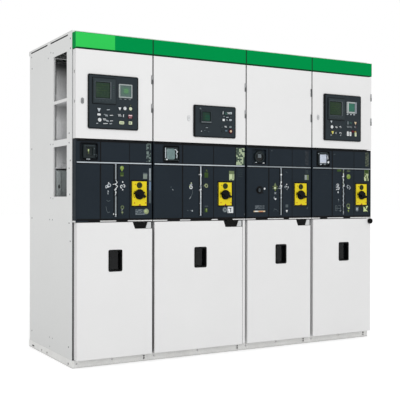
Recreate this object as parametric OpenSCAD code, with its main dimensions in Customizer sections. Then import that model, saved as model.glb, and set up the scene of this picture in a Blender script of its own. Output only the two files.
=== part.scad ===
// Row of four air-insulated switchgear cubicles in sheet steel, front towards -Y.

/* [Overall] */
// Depth of the side sheets
body_d = 830; // [690:10:1000]
// Distance from the side sheets to the front face of doors and covers
front_proud = 55; // [50:1:70]
// Height of the plinth
plinth_h = 48; // [40:1:80]

/* [Cubicle widths] */
// Width of the first cubicle
width_1 = 520; // [500:5:750]
// Width of the second cubicle
width_2 = 700; // [640:5:800]
// Width of the third cubicle
width_3 = 555; // [500:5:750]
// Width of the fourth cubicle
width_4 = 555; // [500:5:750]

/* [Front levels] */
// Height of the green header profile
header_h = 96; // [80:1:120]
// Height of the upper doors
door_h = 538; // [445:1:700]
// Height of the dark mechanism covers
cover_h = 490; // [450:5:600]
// Height of the lift-off cable panels
panel_h = 832; // [690:1:1000]

/* [Sheet metal] */
// Thickness of the folded steel sheets
sheet = 2; // [1.5:0.5:3]
// Thickness of the plinth steel
plinth_t = 3; // [2:0.5:5]
// Inward flange along the front edge of each side sheet
flange_w = 30; // [25:1:40]

/* [Upper doors] */
// Gap between neighbouring upper doors
door_gap = 8; // [7:0.5:12]
// Radius of the hinge pin
pin_r = 2; // [1.5:0.1:2.5]

/* [Mechanism covers] */
// Wall of the moulded cover
cover_t = 4; // [3:0.5:6]
// Radius of the selector knob's disc
selector_r = 32; // [26:1:33]

/* [Hidden] */
$fn = 48;
eps = 1;

// Widths and left edges of the cubicles, counted from 0
widths = [width_1, width_2, width_3, width_4];
units = [0 : 3];
row_w = width_1 + width_2 + width_3 + width_4;
function left_of(i) = i == 0 ? 0 : left_of(i - 1) + widths[i - 1];

// Depths: y = 0 is the front edge of the side sheets until the whole row is centred
front_y = -front_proud;
back_y = body_d;
overhang = 8;
knob_proud = 25;
mid_y = (front_y - knob_proud + back_y + overhang) / 2;

// Levels of the front, from the floor up
joint_gap = 4;
seam = 2;
sill_h = 10;
cap_h = 16;
panel_z0 = plinth_h + joint_gap;
panel_z1 = panel_z0 + panel_h;
sill_z0 = panel_z1 + seam;
sill_z1 = sill_z0 + sill_h;
cover_z0 = sill_z1 + seam;
cover_z1 = cover_z0 + cover_h;
frame_z0 = cover_z1 + seam;
door_z0 = frame_z0 + joint_gap;
door_z1 = door_z0 + door_h;
frame_z1 = door_z1 + joint_gap;
header_z0 = frame_z1 + seam;
header_z1 = header_z0 + header_h;
row_h = header_z1 + cap_h;
wall_z1 = row_h - sheet;
unit_gap = 0.15;
side_inset = 1;

// A box between two opposite corners
module box(a, b) translate(a) cube(b - a);

// Puts its children in the frame of cubicle i, x = 0 at the cubicle's left edge
module in_unit(i) translate([left_of(i) - row_w / 2, -mid_y, 0]) children();

// Centred rectangle with round corners in the plane of its children
module rounded(w, h, r) {
    square([w - 2 * r, h], center = true);
    square([w, h - 2 * r], center = true);
    for (sx = [-1, 1], sz = [-1, 1])
        translate([sx * (w / 2 - r), sz * (h / 2 - r)]) circle(r);
}

// Upright slab with round corners, centred on x and z, from y0 to y1
module slab(x, z, w, h, r, y0, y1)
    translate([x, y1, z]) rotate([90, 0, 0]) linear_extrude(y1 - y0) rounded(w, h, r);

// Round bar along y from y0 to y1
module bar_y(x, z, r, y0, y1) translate([x, y1, z]) rotate([90, 0, 0]) cylinder(h = y1 - y0, r = r);

// Open tray: a box of sheet with walls on every side but the back
module tray(a, b, t) {
    difference() {
        box(a, b);
        box(a + [t, t, t], [b.x - t, b.y + eps, b.z - t]);
    }
}

// Folded pan: a tray whose upright front edges are bent round a radius
bend_r = 1;
module pan_outline(a, b, r) {
    translate([a.x + r, a.y]) square([b.x - a.x - 2 * r, b.y - a.y]);
    translate([a.x, a.y + r]) square([b.x - a.x, b.y - a.y - r]);
    for (x = [a.x + r, b.x - r]) translate([x, a.y + r]) circle(r);
}
module pan(a, b, t) difference() {
    translate([0, 0, a.z]) linear_extrude(b.z - a.z) pan_outline(a, b, bend_r + t);
    translate([0, 0, a.z + t]) linear_extrude(b.z - a.z - 2 * t)
        pan_outline([a.x + t, a.y + t], [b.x - t, b.y + eps], bend_r);
}

// Block with bevelled front edges: two bevelled outlines extruded along z and x, and their meeting
module bevelled(a, b, c) intersection() {
    translate([0, 0, a.z]) linear_extrude(b.z - a.z)
        polygon([[a.x, b.y], [a.x, a.y + c], [a.x + c, a.y], [b.x - c, a.y], [b.x, a.y + c], [b.x, b.y]]);
    translate([a.x, 0, 0]) rotate([90, 0, 90]) linear_extrude(b.x - a.x)
        polygon([[b.y, a.z], [a.y + c, a.z], [a.y, a.z + c], [a.y, b.z - c], [a.y + c, b.z], [b.y, b.z]]);
}

// ---------- Plinth ----------
floor_flange = 45;
floor_hole_r = 7;
hole_inset = 24;
side_hole_z = plinth_h * 0.38;

module plinth(i) {
    w = widths[i];
    difference() {
        box([unit_gap, -overhang, 0], [w - unit_gap, back_y + overhang, plinth_h]);
        box([unit_gap + plinth_t, plinth_t - overhang, plinth_t],
            [w - unit_gap - plinth_t, back_y + overhang - plinth_t, plinth_h + eps]);
        box([floor_flange, floor_flange - overhang, -eps],
            [w - floor_flange, back_y + overhang - floor_flange, plinth_t + eps]);
        for (x = [hole_inset, w - hole_inset], y = [hole_inset, back_y - hole_inset])
            translate([x, y, -eps]) cylinder(h = plinth_t + 2 * eps, r = floor_hole_r);
        for (h = [[29, 27], [w / 2, 33], [w - 40, 33], [w - 40, 18]])
            bar_y(h[0], plinth_h * h[1] / 48, 6, -overhang - eps, plinth_t);
        for (y = [61, back_y - 372, back_y - 265])
            translate([-eps, y, side_hole_z]) rotate([0, 90, 0]) cylinder(h = w + 2 * eps, r = 8);
        box([-eps, back_y - 104, side_hole_z - 5], [w + eps, back_y - 58, side_hole_z + 5]);
    }
}

module plinths() color("lightgray") for (i = units) in_unit(i) plinth(i);

// ---------- Side walls ----------
// Wiring windows between the front and the middle uprights, with the bars that cross them
opening_y0 = 92;
opening_y1 = 334;
low_bar_h = 42;
high_bar_h = 20;
low_bar_z = cover_z1 - 30;
high_bar_z = frame_z0 + 240;
duct_windows = [[cover_z0 + 144, low_bar_z], [low_bar_z + low_bar_h, high_bar_z],
    [high_bar_z + high_bar_h, frame_z1 - 1]];
slot_h = 9;
slot_z = row_h - 21;
top_slots = [[opening_y0 - 16, opening_y1 + 62], [back_y - 374, back_y - 28]];

module side_sheet() difference() {
    x0 = unit_gap + side_inset;
    box([x0, 0, plinth_h], [x0 + sheet, back_y, wall_z1]);
    for (win = duct_windows)
        box([x0 - eps, opening_y0, win[0]], [x0 + sheet + eps, opening_y1, win[1]]);
    for (run = top_slots)
        box([x0 - eps, run[0], slot_z], [x0 + sheet + eps, run[1], slot_z + slot_h]);
}

module walls(i) color("whitesmoke") in_unit(i) {
    side_sheet();
    translate([widths[i], 0, 0]) mirror([1, 0, 0]) side_sheet();
}
module walls_1() walls(0);
module walls_2() walls(1);
module walls_3() walls(2);
module walls_4() walls(3);

// Uprights and top rails behind the side sheets: a flange across and a leg along each sheet
inner_x = unit_gap + side_inset + sheet;
post_leg = 20;
fit_gap = 0.3;
rail_w = 20;
mid_flange_w = 10;

module upright(y, s, w) {
    box([inner_x, min(y, y + s * sheet), plinth_h], [w, max(y, y + s * sheet), wall_z1]);
    leg_y = y + s * (sheet + fit_gap);
    box([inner_x, min(leg_y, y + s * post_leg), plinth_h],
        [inner_x + sheet, max(leg_y, y + s * post_leg), slot_z - fit_gap]);
}

module posts_of_side() {
    upright(0, 1, flange_w);
    upright(back_y, -1, flange_w);
    upright(opening_y1, 1, inner_x + mid_flange_w);
    for (y = [[post_leg, opening_y1], [opening_y1 + post_leg, back_y - post_leg]])
        box([inner_x, y[0] + fit_gap, wall_z1 - sheet], [inner_x + rail_w, y[1] - fit_gap, wall_z1]);
}

module frame_posts() color("lightgray") for (i = units) in_unit(i) {
    posts_of_side();
    translate([widths[i], 0, 0]) mirror([1, 0, 0]) posts_of_side();
}

module rear_panels() color("whitesmoke") for (i = units) in_unit(i)
    box([4, back_y, plinth_h + 4], [widths[i] - 4, back_y + sheet, row_h - 32]);

module roof_panels() color("whitesmoke") for (i = units) in_unit(i) {
    x1 = widths[i] - unit_gap;
    box([unit_gap, -sheet, wall_z1], [x1, back_y + overhang, row_h]);
    box([unit_gap, -sheet, header_z1], [x1, 0, row_h]);
    box([unit_gap, back_y + overhang - sheet, row_h - 30], [x1, back_y + overhang, row_h]);
}

// ---------- Header and upper frame ----------
header_gap = 1.5;

module headers() color("seagreen") for (i = units) in_unit(i)
    tray([header_gap, front_y, header_z0], [widths[i] - header_gap, 0, header_z1], sheet);

frame_front_y = -sheet;
frame_w = 30;

module door_frames() color("whitesmoke") for (i = units) in_unit(i) difference() {
    box([header_gap, frame_front_y, frame_z0], [widths[i] - header_gap, 0, frame_z1]);
    box([frame_w, frame_front_y - eps, frame_z0 + frame_w],
        [widths[i] - frame_w, eps, frame_z1 - frame_w]);
}

// ---------- Inner sheets seen through the wiring windows ----------
back_plate_y = opening_y1 + sheet;
plate_x0 = inner_x + sheet;
shelf_z = cover_z1 - 1;
split_z = cover_z0 + 314;
split_gap = 10;
shelf_step = rail_w + sheet + fit_gap;

// Long upright slots beside the middle uprights, between z0 and z1 with short bridges
slot_x = inner_x + mid_flange_w + 0.5;
slot_w = 6;
slot_pitch = 155;
module edge_slots(i, z0, z1) for (x = [slot_x, widths[i] - slot_x - slot_w])
    for (z = [z0 + 8 : slot_pitch : z1 - 60])
        box([x, back_plate_y - eps, z], [x + slot_w, back_plate_y + sheet + eps, min(z + 145, z1 - 8)]);

lip_d = 12;
lip_h = 18;
bracket_x = 57;
bracket_d = 16;

module lv_back_plates() color("silver") for (i = units) in_unit(i) {
    x1 = widths[i] - plate_x0;
    z1 = header_z0 - 28;
    z0 = split_z + split_gap;
    lip_y = back_plate_y - lip_d;
    difference() {
        box([plate_x0, back_plate_y, z0], [x1, back_plate_y + sheet, z1]);
        edge_slots(i, z0, z1);
    }
    // Folded top edge and, above the split, a small folded bracket
    box([shelf_step, lip_y, z1 - sheet], [widths[i] - shelf_step, back_plate_y + sheet, z1]);
    box([shelf_step, lip_y, z1 - lip_h], [widths[i] - shelf_step, lip_y + sheet, z1]);
    box([bracket_x, back_plate_y - bracket_d, z0 + 32], [bracket_x + 26, back_plate_y + eps, z0 + 32 + sheet]);
    box([bracket_x, back_plate_y - bracket_d, z0], [bracket_x + 26, back_plate_y - bracket_d + sheet, z0 + 33]);
    box([shelf_step, back_plate_y - 12, z0], [widths[i] - shelf_step, back_plate_y + sheet, z0 + sheet]);
    box([plate_x0, post_leg + sheet, shelf_z], [x1, opening_y1 - fit_gap, shelf_z + sheet]);
    box([shelf_step, opening_y1 - 1, shelf_z], [widths[i] - shelf_step, back_plate_y + eps, shelf_z + sheet]);
}

channel_x = 21;
channel_w = 26;
channel_d = 10;

module mechanism_plates() color("gray") for (i = units) in_unit(i) difference() {
    union() {
        box([plate_x0, back_plate_y, cover_z0], [widths[i] - plate_x0, back_plate_y + sheet, split_z]);
        tray([channel_x, back_plate_y - channel_d, cover_z0 + 10],
            [channel_x + channel_w, back_plate_y + sheet, split_z - 6], sheet);
    }
    slab(channel_x + channel_w * 0.6, cover_z0 + 208, 13, 25, 6, back_plate_y - channel_d - eps,
        back_plate_y + sheet + eps);
    edge_slots(i, cover_z0, split_z);
}

// ---------- Sill under the mechanism covers ----------
// Tongues of the covers that reach over the sill, as [left edge, width]
function tongues(i) = [
    [[5, 80], [86, 76], [271, 75]],
    [[105, 89], [273, 157], [480, 114]],
    [[80, 97], [313, 43]],
    [[76, 64], [290, 61]]
][i];

module sills() color("whitesmoke") for (i = units) in_unit(i) {
    w = widths[i];
    difference() {
        tray([4, front_y + 3, sill_z0], [w - 4, 0, sill_z1], sheet);
        box([4 + sheet, front_y, sill_z0 - eps], [w - 4 - sheet, eps, sill_z0 + sheet + eps]);
        for (t = tongues(i))
            box([t[0] - 1, front_y, sill_z0 - eps], [t[0] + t[1] + 1, front_y + 6, sill_z1 + eps]);
    }
}

// Fixed post beside the wide cubicle's panel, with a foot strip that carries the hooks
post_w = 18;
post_gap = 4;

module corner_post() color("whitesmoke") in_unit(1) {
    x0 = panel_x1(1) + post_gap;
    box([x0, front_y + 5, panel_z0], [x0 + post_w, front_y + 5 + sheet, panel_z1]);
    box([x0, front_y + 5, panel_z0], [x0 + sheet, 0, panel_z1]);
    box([x0 - 30, -sheet, panel_z0], [x0 + post_w, 0, panel_z1]);
}

// ---------- Moulded mechanism covers ----------
cover_side = 5;
rim = 8;
rim_step = 1.5;
groove_w = 4;
groove_d = 2;
cover_bevel = cover_t + 1;
mimic_z = cover_z1 - 138;
mimic_w = 8;
pocket_z = (mimic_z + cover_z1 - 6) / 2;
pocket_w = 108;
pocket_h = 100;
pocket_d = 10;
collar = 5;
plate_w = 108;
plate_h = 160;
plate_z = cover_z0 + 164;
shaft_r = 6;
shaft_z = plate_z - 5;
// Places across each cover: the mimic line, indicator and first seam from the left edge,
// the selector plate and the other seams from the right edge
function mimic_x(i) = [265, 347, 288, 288][i];
function plate_x(i) = widths[i] - [95, 166, 99, 100][i];
function pocket_x(i) = [90, 130, 108, 100][i];
function seam_xs(i) = [
    [164, widths[0] - 162], [213, widths[1] - 255, widths[1] - 84],
    [186, widths[2] - 172], [184, widths[3] - 169]
][i];

module mechanism_cover(i) color("darkslategray") in_unit(i) {
    w = widths[i];
    x1 = w - cover_side;
    face_y = front_y + rim_step;
    difference() {
        union() {
            difference() {
                bevelled([cover_side, front_y, cover_z0], [x1, 0, cover_z1], cover_bevel);
                box([cover_side + cover_t, front_y + cover_t, cover_z0 + cover_t],
                    [x1 - cover_t, eps, cover_z1 - cover_t]);
            }
            box([pocket_x(i) - pocket_w / 2 - cover_t, face_y, pocket_z - pocket_h / 2 - cover_t],
                [pocket_x(i) + pocket_w / 2 + cover_t, face_y + pocket_d + cover_t,
                pocket_z + pocket_h / 2 + cover_t]);
            for (t = tongues(i))
                box([t[0], front_y + 1, sill_z0 + 2], [t[0] + t[1], front_y + 5, cover_z0 + eps]);
        }
        // Field inside the rim
        box([cover_side + rim, front_y - eps, cover_z0 + rim], [x1 - rim, face_y, cover_z1 - rim]);
        // Upright seams between the moulded fields, and the channel of the mimic line
        for (x = seam_xs(i))
            box([x - groove_w / 2, front_y, cover_z0 + rim],
                [x + groove_w / 2, face_y + groove_d, cover_z1 - rim]);
        box([cover_side + cover_bevel, front_y - eps, mimic_z - mimic_w * 1.3],
            [x1 - cover_bevel, face_y + groove_d, mimic_z + mimic_w * 1.3]);
        box([mimic_x(i) - 2 * mimic_w, front_y, cover_z0 + 16],
            [mimic_x(i) + 2 * mimic_w, face_y + groove_d, mimic_z]);
        // Pocket of the indicator
        slab(pocket_x(i), pocket_z, pocket_w, pocket_h, 6, front_y - eps, face_y + pocket_d);
        bar_y(plate_x(i), shaft_z, shaft_r + 3, front_y - eps, face_y + cover_t + eps);
    }
    // Collar round the pocket
    difference() {
        slab(pocket_x(i), pocket_z, pocket_w + 2 * collar, pocket_h + 2 * collar, 8, front_y - 1,
            face_y + eps);
        slab(pocket_x(i), pocket_z, pocket_w, pocket_h, 6, front_y - 2, face_y + 2 * eps);
    }
}
module mechanism_cover_1() mechanism_cover(0);
module mechanism_cover_2() mechanism_cover(1);
module mechanism_cover_3() mechanism_cover(2);
module mechanism_cover_4() mechanism_cover(3);

module mimic_strips() color("silver") for (i = units) in_unit(i) {
    y0 = front_y + rim_step - 0.5;
    y1 = front_y + rim_step + groove_d;
    x0 = cover_side + cover_bevel + 1;
    box([x0, y0, mimic_z - mimic_w / 2], [widths[i] - x0, y1, mimic_z + mimic_w / 2]);
    box([mimic_x(i) - mimic_w * 0.7, y0, cover_z0 + 20], [mimic_x(i) + mimic_w * 0.7, y1, mimic_z]);
}

plate_t = 3;
module selector_plates() color("gold") for (i = units) in_unit(i) difference() {
    slab(plate_x(i), plate_z, plate_w, plate_h, 4, front_y + rim_step - plate_t, front_y + rim_step);
    bar_y(plate_x(i), shaft_z, shaft_r + 0.1, front_y - 2 * plate_t, front_y + 2 * plate_t);
}

socket_z = shaft_z + 57;
module lever_sockets() color("black") for (i = units) in_unit(i) {
    y0 = front_y + rim_step - plate_t;
    difference() {
        union() {
            bar_y(plate_x(i), socket_z, 19, y0 - 2, y0);
            bar_y(plate_x(i), socket_z, 14, y0 - 5, y0 - 1);
        }
        translate([plate_x(i), y0 - 1, socket_z]) rotate([90, 0, 0]) cylinder(h = 6, r = 9, $fn = 6);
    }
}

// Position indicators: a housing in each pocket with a sunk lens
function housing_size(i) = [[76, 80], [96, 86], [0, 0], [90, 88]][i];
function lens_size(i) = [[44, 52], [70, 72], [0, 0], [62, 64]][i];
lens_sink = 4;
gauge_r = 38;
housing_y = front_y - 3;

module indicators() color("dimgray") {
    y1 = front_y + rim_step + pocket_d;
    for (i = [0, 1, 3]) in_unit(i) difference() {
        slab(pocket_x(i), pocket_z, housing_size(i)[0], housing_size(i)[1], 5, housing_y, y1);
        slab(pocket_x(i), pocket_z, lens_size(i)[0] + 2 * fit_gap, lens_size(i)[1] + 2 * fit_gap,
            3 + fit_gap, housing_y - eps, housing_y + lens_sink + 2);
    }
    in_unit(2) difference() {
        bar_y(pocket_x(2), pocket_z, gauge_r, housing_y, y1);
        bar_y(pocket_x(2), pocket_z, gauge_r - 7 + fit_gap, housing_y - eps, housing_y + lens_sink + 2);
    }
}

module indicator_lenses() color("lightsteelblue") {
    y0 = housing_y + lens_sink;
    for (i = [0, 1, 3]) in_unit(i)
        slab(pocket_x(i), pocket_z, lens_size(i)[0], lens_size(i)[1], 3, y0, y0 + 2);
    in_unit(2) bar_y(pocket_x(2), pocket_z, gauge_r - 7, y0, y0 + 2);
}

// Key lock of the third cubicle's drive: a skirt, a raised barrel and its key slot
module key_lock() color("black") in_unit(2) {
    y0 = front_y + rim_step;
    x = pocket_x(2) - 3;
    z = cover_z0 + 190;
    difference() {
        union() {
            bar_y(x, z, 22, y0 - 3, y0);
            bar_y(x, z, 13, y0 - 9, y0 - 2);
        }
        box([x - 1.5, y0 - 10, z - 8], [x + 1.5, y0 - 4, z + 8]);
    }
}

module label(x, z, w, h)
    box([x - w / 2, front_y + rim_step - 1, z - h / 2], [x + w / 2, front_y + rim_step, z + h / 2]);

label_z = cover_z0 + 54;
module labels() color("palegoldenrod") {
    in_unit(0) label(widths[0] - 75, label_z - 3, 96, 36);
    in_unit(1) label(widths[1] - 144, label_z + 1, 88, 38);
    in_unit(2) label(pocket_x(2), label_z + 4, 92, 50);
    in_unit(3) label(widths[3] - 57, label_z + 1, 42, 44);
    for (i = units) in_unit(i)
        label(plate_x(i) + [42, 51, 51, 47][i], plate_z + plate_h / 2 + 34, 36, 44);
}

// ---------- Selector knobs ----------
// Skirt, hub and a grip bar with round ends and a pointer rib, on a shaft through the plate
bar_half = 40;
bar_r = 8;
knob_turn = 25;
skirt_gap = 1.5;

module grip_outline() {
    square([2 * (bar_half - bar_r), 2 * bar_r], center = true);
    for (s = [-1, 1]) translate([s * (bar_half - bar_r), 0]) circle(bar_r);
    circle(bar_r + 6);
}

module selector(i) color("black") in_unit(i) {
    y0 = front_y + rim_step - plate_t - skirt_gap;
    bar_y(plate_x(i), shaft_z, shaft_r, y0 - 1, front_y + 14);
    bar_y(plate_x(i), shaft_z, selector_r, y0 - 5, y0);
    bar_y(plate_x(i), shaft_z, selector_r - 5, y0 - 9, y0 - 4);
    translate([plate_x(i), 0, shaft_z]) rotate([0, knob_turn, 0]) {
        translate([0, y0 - 8, 0]) rotate([90, 0, 0])
            linear_extrude(y0 - 8 - (front_y - knob_proud + 2)) grip_outline();
        box([0, front_y - knob_proud, -2], [bar_half - 4, front_y - knob_proud + 3, 2]);
    }
    bar_y(plate_x(i), shaft_z, 10, front_y + 10, front_y + 14);
}
module selector_1() selector(0);
module selector_2() selector(1);
module selector_3() selector(2);
module selector_4() selector(3);

// ---------- Lift-off cable panels ----------
panel_side = 12;
panel_d = front_proud - 3;
window_w = 82;
window_h = 124;
window_z = panel_z1 - 236;
window_r = 10;
notch_h = 42;
notch_slant = 15;
grip_play = 3;
function notch_w(i) = [136, 150, 126][i];
function panel_x1(i) = widths[i] - [4, 28, 12, 12][i];
function window_x(i) = (panel_side + panel_x1(i)) / 2 + [-1, 4, 10, 12][i];
// What a panel's right side hangs on: the wall's flange, or the corner post's foot strip
function seat_y(i) = i == 1 ? -sheet : 0;
hook_zs = [panel_z0 + 63, panel_z1 - 84];
hook_w = 8;
hook_h = 30;

// Notch in a panel's top right corner, w wide at the top
module notch_outline(w) polygon([[eps, eps], [-w, eps], [-w, 0], [notch_slant - w, -notch_h], [eps, -notch_h]]);

module cable_panel(i) color("whitesmoke") in_unit(i) {
    x1 = panel_x1(i);
    hook_y0 = front_y + sheet;
    difference() {
        pan([panel_side, front_y, panel_z0], [x1, front_y + panel_d, panel_z1], sheet);
        slab(window_x(i), window_z, window_w + 2, window_h + 2, window_r, front_y - eps,
            front_y + sheet + eps);
        if (i < 3) translate([x1, front_y + panel_d + eps, panel_z1]) rotate([90, 0, 0])
            linear_extrude(panel_d + 2 * eps) notch_outline(notch_w(i));
    }
    for (z = hook_zs) {
        box([panel_side + sheet, hook_y0, z - hook_h / 2], [panel_side + sheet + hook_w, 0, z + hook_h / 2]);
        box([x1 - sheet - hook_w, hook_y0, z - hook_h / 2], [x1 - sheet, seat_y(i), z + hook_h / 2]);
    }
}
module cable_panel_1() cable_panel(0);
module cable_panel_2() cable_panel(1);
module cable_panel_3() cable_panel(2);
module cable_panel_4() cable_panel(3);

module window_bezels() color("black") for (i = units) in_unit(i) difference() {
    union() {
        slab(window_x(i), window_z, window_w, window_h, window_r, front_y, front_y + 28);
        slab(window_x(i), window_z, window_w + 10, window_h + 10, window_r, front_y - 2, front_y);
    }
    slab(window_x(i), window_z, window_w - 8, window_h - 8, 5, front_y - 3, front_y + 29);
}

module window_panes() color("gray", 0.4) for (i = units) in_unit(i)
    slab(window_x(i), window_z, window_w - 8, window_h - 8, 5, front_y + 22, front_y + 25);

// Grip of the latch with three finger grooves, and its ear behind the panel's sheet
grip_d = 30;
module latch_grip(i) {
    w = notch_w(i) - 2 * fit_gap;
    h = notch_h - grip_play;
    x1 = panel_x1(i);
    z1 = panel_z1 - 1;
    difference() {
        translate([x1, front_y + 3 + grip_d, z1]) rotate([90, 0, 0]) linear_extrude(grip_d)
            polygon([[-34, 0], [-w, 0], [notch_slant - w, -h], [-48, -h]]);
        for (k = [1 : 3]) box([x1 - w, front_y, z1 - 10 * k - 2], [x1 - 34, front_y + 6, z1 - 10 * k + 2]);
    }
    box([x1 - w - 12, front_y + sheet, z1 - h], [x1 - w + 30, front_y + sheet + 4, z1 - 4]);
}

module latch_handles() color("black") {
    for (i = [0 : 2]) in_unit(i) latch_grip(i);
    in_unit(3) {
        x = panel_x1(3) - 9;
        z = panel_z1 - 18;
        difference() {
            union() {
                bar_y(x, z, 19, front_y - 14, front_y);
                bar_y(x, z, 14, front_y - 18, front_y - 13);
            }
            bar_y(x, z, 5, front_y - 19, front_y - 12);
        }
    }
}

module latch_brackets() color("lightgray") for (i = [0 : 2]) in_unit(i)
    translate([panel_x1(i), seat_y(i), panel_z1 - 1]) rotate([90, 0, 0])
        linear_extrude(seat_y(i) - front_y - 2)
            polygon([[-8, 0], [-32, 0], [-46, grip_play - notch_h], [-8, grip_play - notch_h]]);

// ---------- Upper doors ----------
door_d = front_proud - sheet - 5.5;
hinge_x = 3.5;
knuckle_r = pin_r + 2;
knuckle_l = 26;
hinge_zs = [door_z0 + 206, door_z1 - 152];
pin_clear = 0.1;
axis_y = front_y - 1;
function door_x1(i) = widths[i] - door_gap / 2;
function axis_x(i) = door_x1(i) - hinge_x;

// Control panels: width, height, offset of the middle from the door's middle, foot above the door's
function panel_size(i) = [[334, 331, -13, 61], [322, 208, 101, 39], [], [344, 333, -5, 56]][i];
function panel_box(i) = let (s = panel_size(i)) len(s) == 0 ? [] :
    [widths[i] / 2 + s[2], door_z0 + s[3] + s[1] / 2, s[0], s[1]];
cut_inset = 14;

module upper_door(i) color("white") in_unit(i) {
    x0 = door_gap / 2;
    difference() {
        pan([x0, front_y, door_z0], [door_x1(i), front_y + door_d, door_z1], sheet);
        for (z = hinge_zs)
            box([axis_x(i) - knuckle_r - 1.5, front_y - eps, z - knuckle_l - 2],
                [door_x1(i) + eps, front_y + door_d + eps, z + knuckle_l + 2]);
        // Slots in the left return, level with the hinges
        for (z = hinge_zs)
            box([x0 - eps, front_y + 20, z + 8], [x0 + sheet + eps, front_y + 31, z + 26]);
        if (len(panel_box(i)) > 0) {
            p = panel_box(i);
            box([p[0] - p[2] / 2 + cut_inset, front_y - eps, p[1] - p[3] / 2 + cut_inset],
                [p[0] + p[2] / 2 - cut_inset, front_y + sheet + eps, p[1] + p[3] / 2 - cut_inset]);
        }
    }
}
module upper_door_1() upper_door(0);
module upper_door_2() upper_door(1);
module upper_door_3() upper_door(2);
module upper_door_4() upper_door(3);

// Knuckle bored for the pin, with its leaf behind the door's front sheet
module door_knuckle(i, z) difference() {
    union() {
        translate([axis_x(i), axis_y, z]) cylinder(h = knuckle_l, r = knuckle_r);
        box([axis_x(i) - 30, front_y + sheet, z], [axis_x(i), front_y + 2 * sheet, z + knuckle_l]);
    }
    translate([axis_x(i), axis_y, z - eps]) cylinder(h = knuckle_l + 2 * eps, r = pin_r + pin_clear);
}

// Lock of the door: beside the control panel, at its own height above the door's foot
function lock_gap(i) = [34, 33, 0, 47][i];
function lock_rise(i) = [226, 158, 0, 216][i];
function lock_at(i) = let (p = panel_box(i)) len(p) == 0 ? [] :
    [p[0] - p[2] / 2 - lock_gap(i), door_z0 + lock_rise(i)];

module door_fittings(i) color("dimgray") in_unit(i) {
    for (z = hinge_zs) door_knuckle(i, z + 0.5);
    if (len(lock_at(i)) > 0) {
        l = lock_at(i);
        difference() {
            union() {
                slab(l[0], l[1], 18, 36, 8.9, front_y - 3, front_y);
                bar_y(l[0], l[1], 7, front_y - 4, front_y - 2);
            }
            box([l[0] - 1, front_y - 5, l[1] - 5], [l[0] + 1, front_y - 1.5, l[1] + 5]);
        }
    }
}
module door_fittings_1() door_fittings(0);
module door_fittings_2() door_fittings(1);
module door_fittings_3() door_fittings(2);
module door_fittings_4() door_fittings(3);

// Fixed knuckle with the pin, its leaf in the gap and its foot on the frame
module hinge_pins() color("dimgray") for (i = units, z = hinge_zs) in_unit(i) {
    leaf_x = axis_x(i) + knuckle_r - sheet;
    translate([axis_x(i), axis_y, z - knuckle_l]) cylinder(h = knuckle_l, r = knuckle_r);
    translate([axis_x(i), axis_y, z - eps]) cylinder(h = knuckle_l + eps, r = pin_r);
    box([leaf_x, axis_y, z - knuckle_l], [leaf_x + sheet, frame_front_y, z]);
    box([leaf_x - 20, frame_front_y - sheet, z - knuckle_l], [leaf_x + sheet, frame_front_y, z]);
}

// ---------- Control panels on the upper doors ----------
panel_t = 6;
face = front_y - panel_t;

// Places on the control panels, counted from the panel's middle
function on_panel(i, x, z) = [panel_box(i)[0] + x, panel_box(i)[1] + z];
function relay_at(i) = on_panel(i, [-62, 0, 0, -59][i], [66, 0, 0, 61][i]);
function meter_at(i) = on_panel(i, [79, 0, 0, 81][i], [74, 0, 0, 78][i]);
controller_at = on_panel(1, -69, 28);
relay_w = 150;
relay_h = 154;
meter_w = 90;
meter_h = 84;
panel_lip = 4;

module control_panel(i) color("#20252b") in_unit(i) {
    p = panel_box(i);
    difference() {
        slab(p[0], p[1], p[2], p[3], 10, face, front_y);
        // Shallow field for the keys, inside the raised lip
        slab(p[0], p[1], p[2] - 2 * panel_lip, p[3] - 2 * panel_lip, 6, face - eps, face + 1);
        if (i != 1) {
            r = relay_at(i);
            m = meter_at(i);
            box([r[0] - 66, face - eps, r[1] - 68], [r[0] + 66, front_y + eps, r[1] + 68]);
            box([m[0] - 40, face - eps, m[1] - 40], [m[0] + 40, front_y + eps, m[1] + 40]);
        } else {
            box([controller_at[0] - 34, face - eps, controller_at[1] - 34],
                [controller_at[0] + 34, front_y + eps, controller_at[1] + 34]);
        }
    }
}
module control_panel_1() control_panel(0);
module control_panel_2() control_panel(1);
module control_panel_4() control_panel(3);

// Instrument with a stepped bezel on the panel, a sunk screen and a body behind the door:
// size is the bezel's, body its cut-out's and depth, screen its width, height and offsets
module instrument(at, size, body, screen) translate([at[0], 0, at[1]]) difference() {
    union() {
        slab(0, 0, size[0], size[1], 5, face - 5, face + 1);
        slab(0, 0, size[0] - 10, size[1] - 10, 4, face - 8, face - 4);
        box([-body[0] / 2, face, -body[1] / 2], [body[0] / 2, face + body[2], body[1] / 2]);
    }
    box([screen[2] - screen[0] / 2, face - 9, screen[3] - screen[1] / 2],
        [screen[2] + screen[0] / 2, face - 4, screen[3] + screen[1] / 2]);
}

module relay(i) color("#2a3038") in_unit(i)
    instrument(relay_at(i), [relay_w, relay_h], [130, 134, 70], [i == 0 ? 98 : 112, 98, -11, 4]);
module relay_1() relay(0);
module relay_4() relay(3);

module meter(i) color("silver") in_unit(i)
    instrument(meter_at(i), [meter_w, meter_h], [78, 78, 55], i == 0 ? [76, 70, 0, 0] : [60, 62, 0, 1]);
module meter_1() meter(0);
module meter_4() meter(3);

module controller_2() color("#2a3038") in_unit(1)
    instrument(controller_at, [80, 82], [66, 66, 50], [64, 64, 0, 2]);

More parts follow.
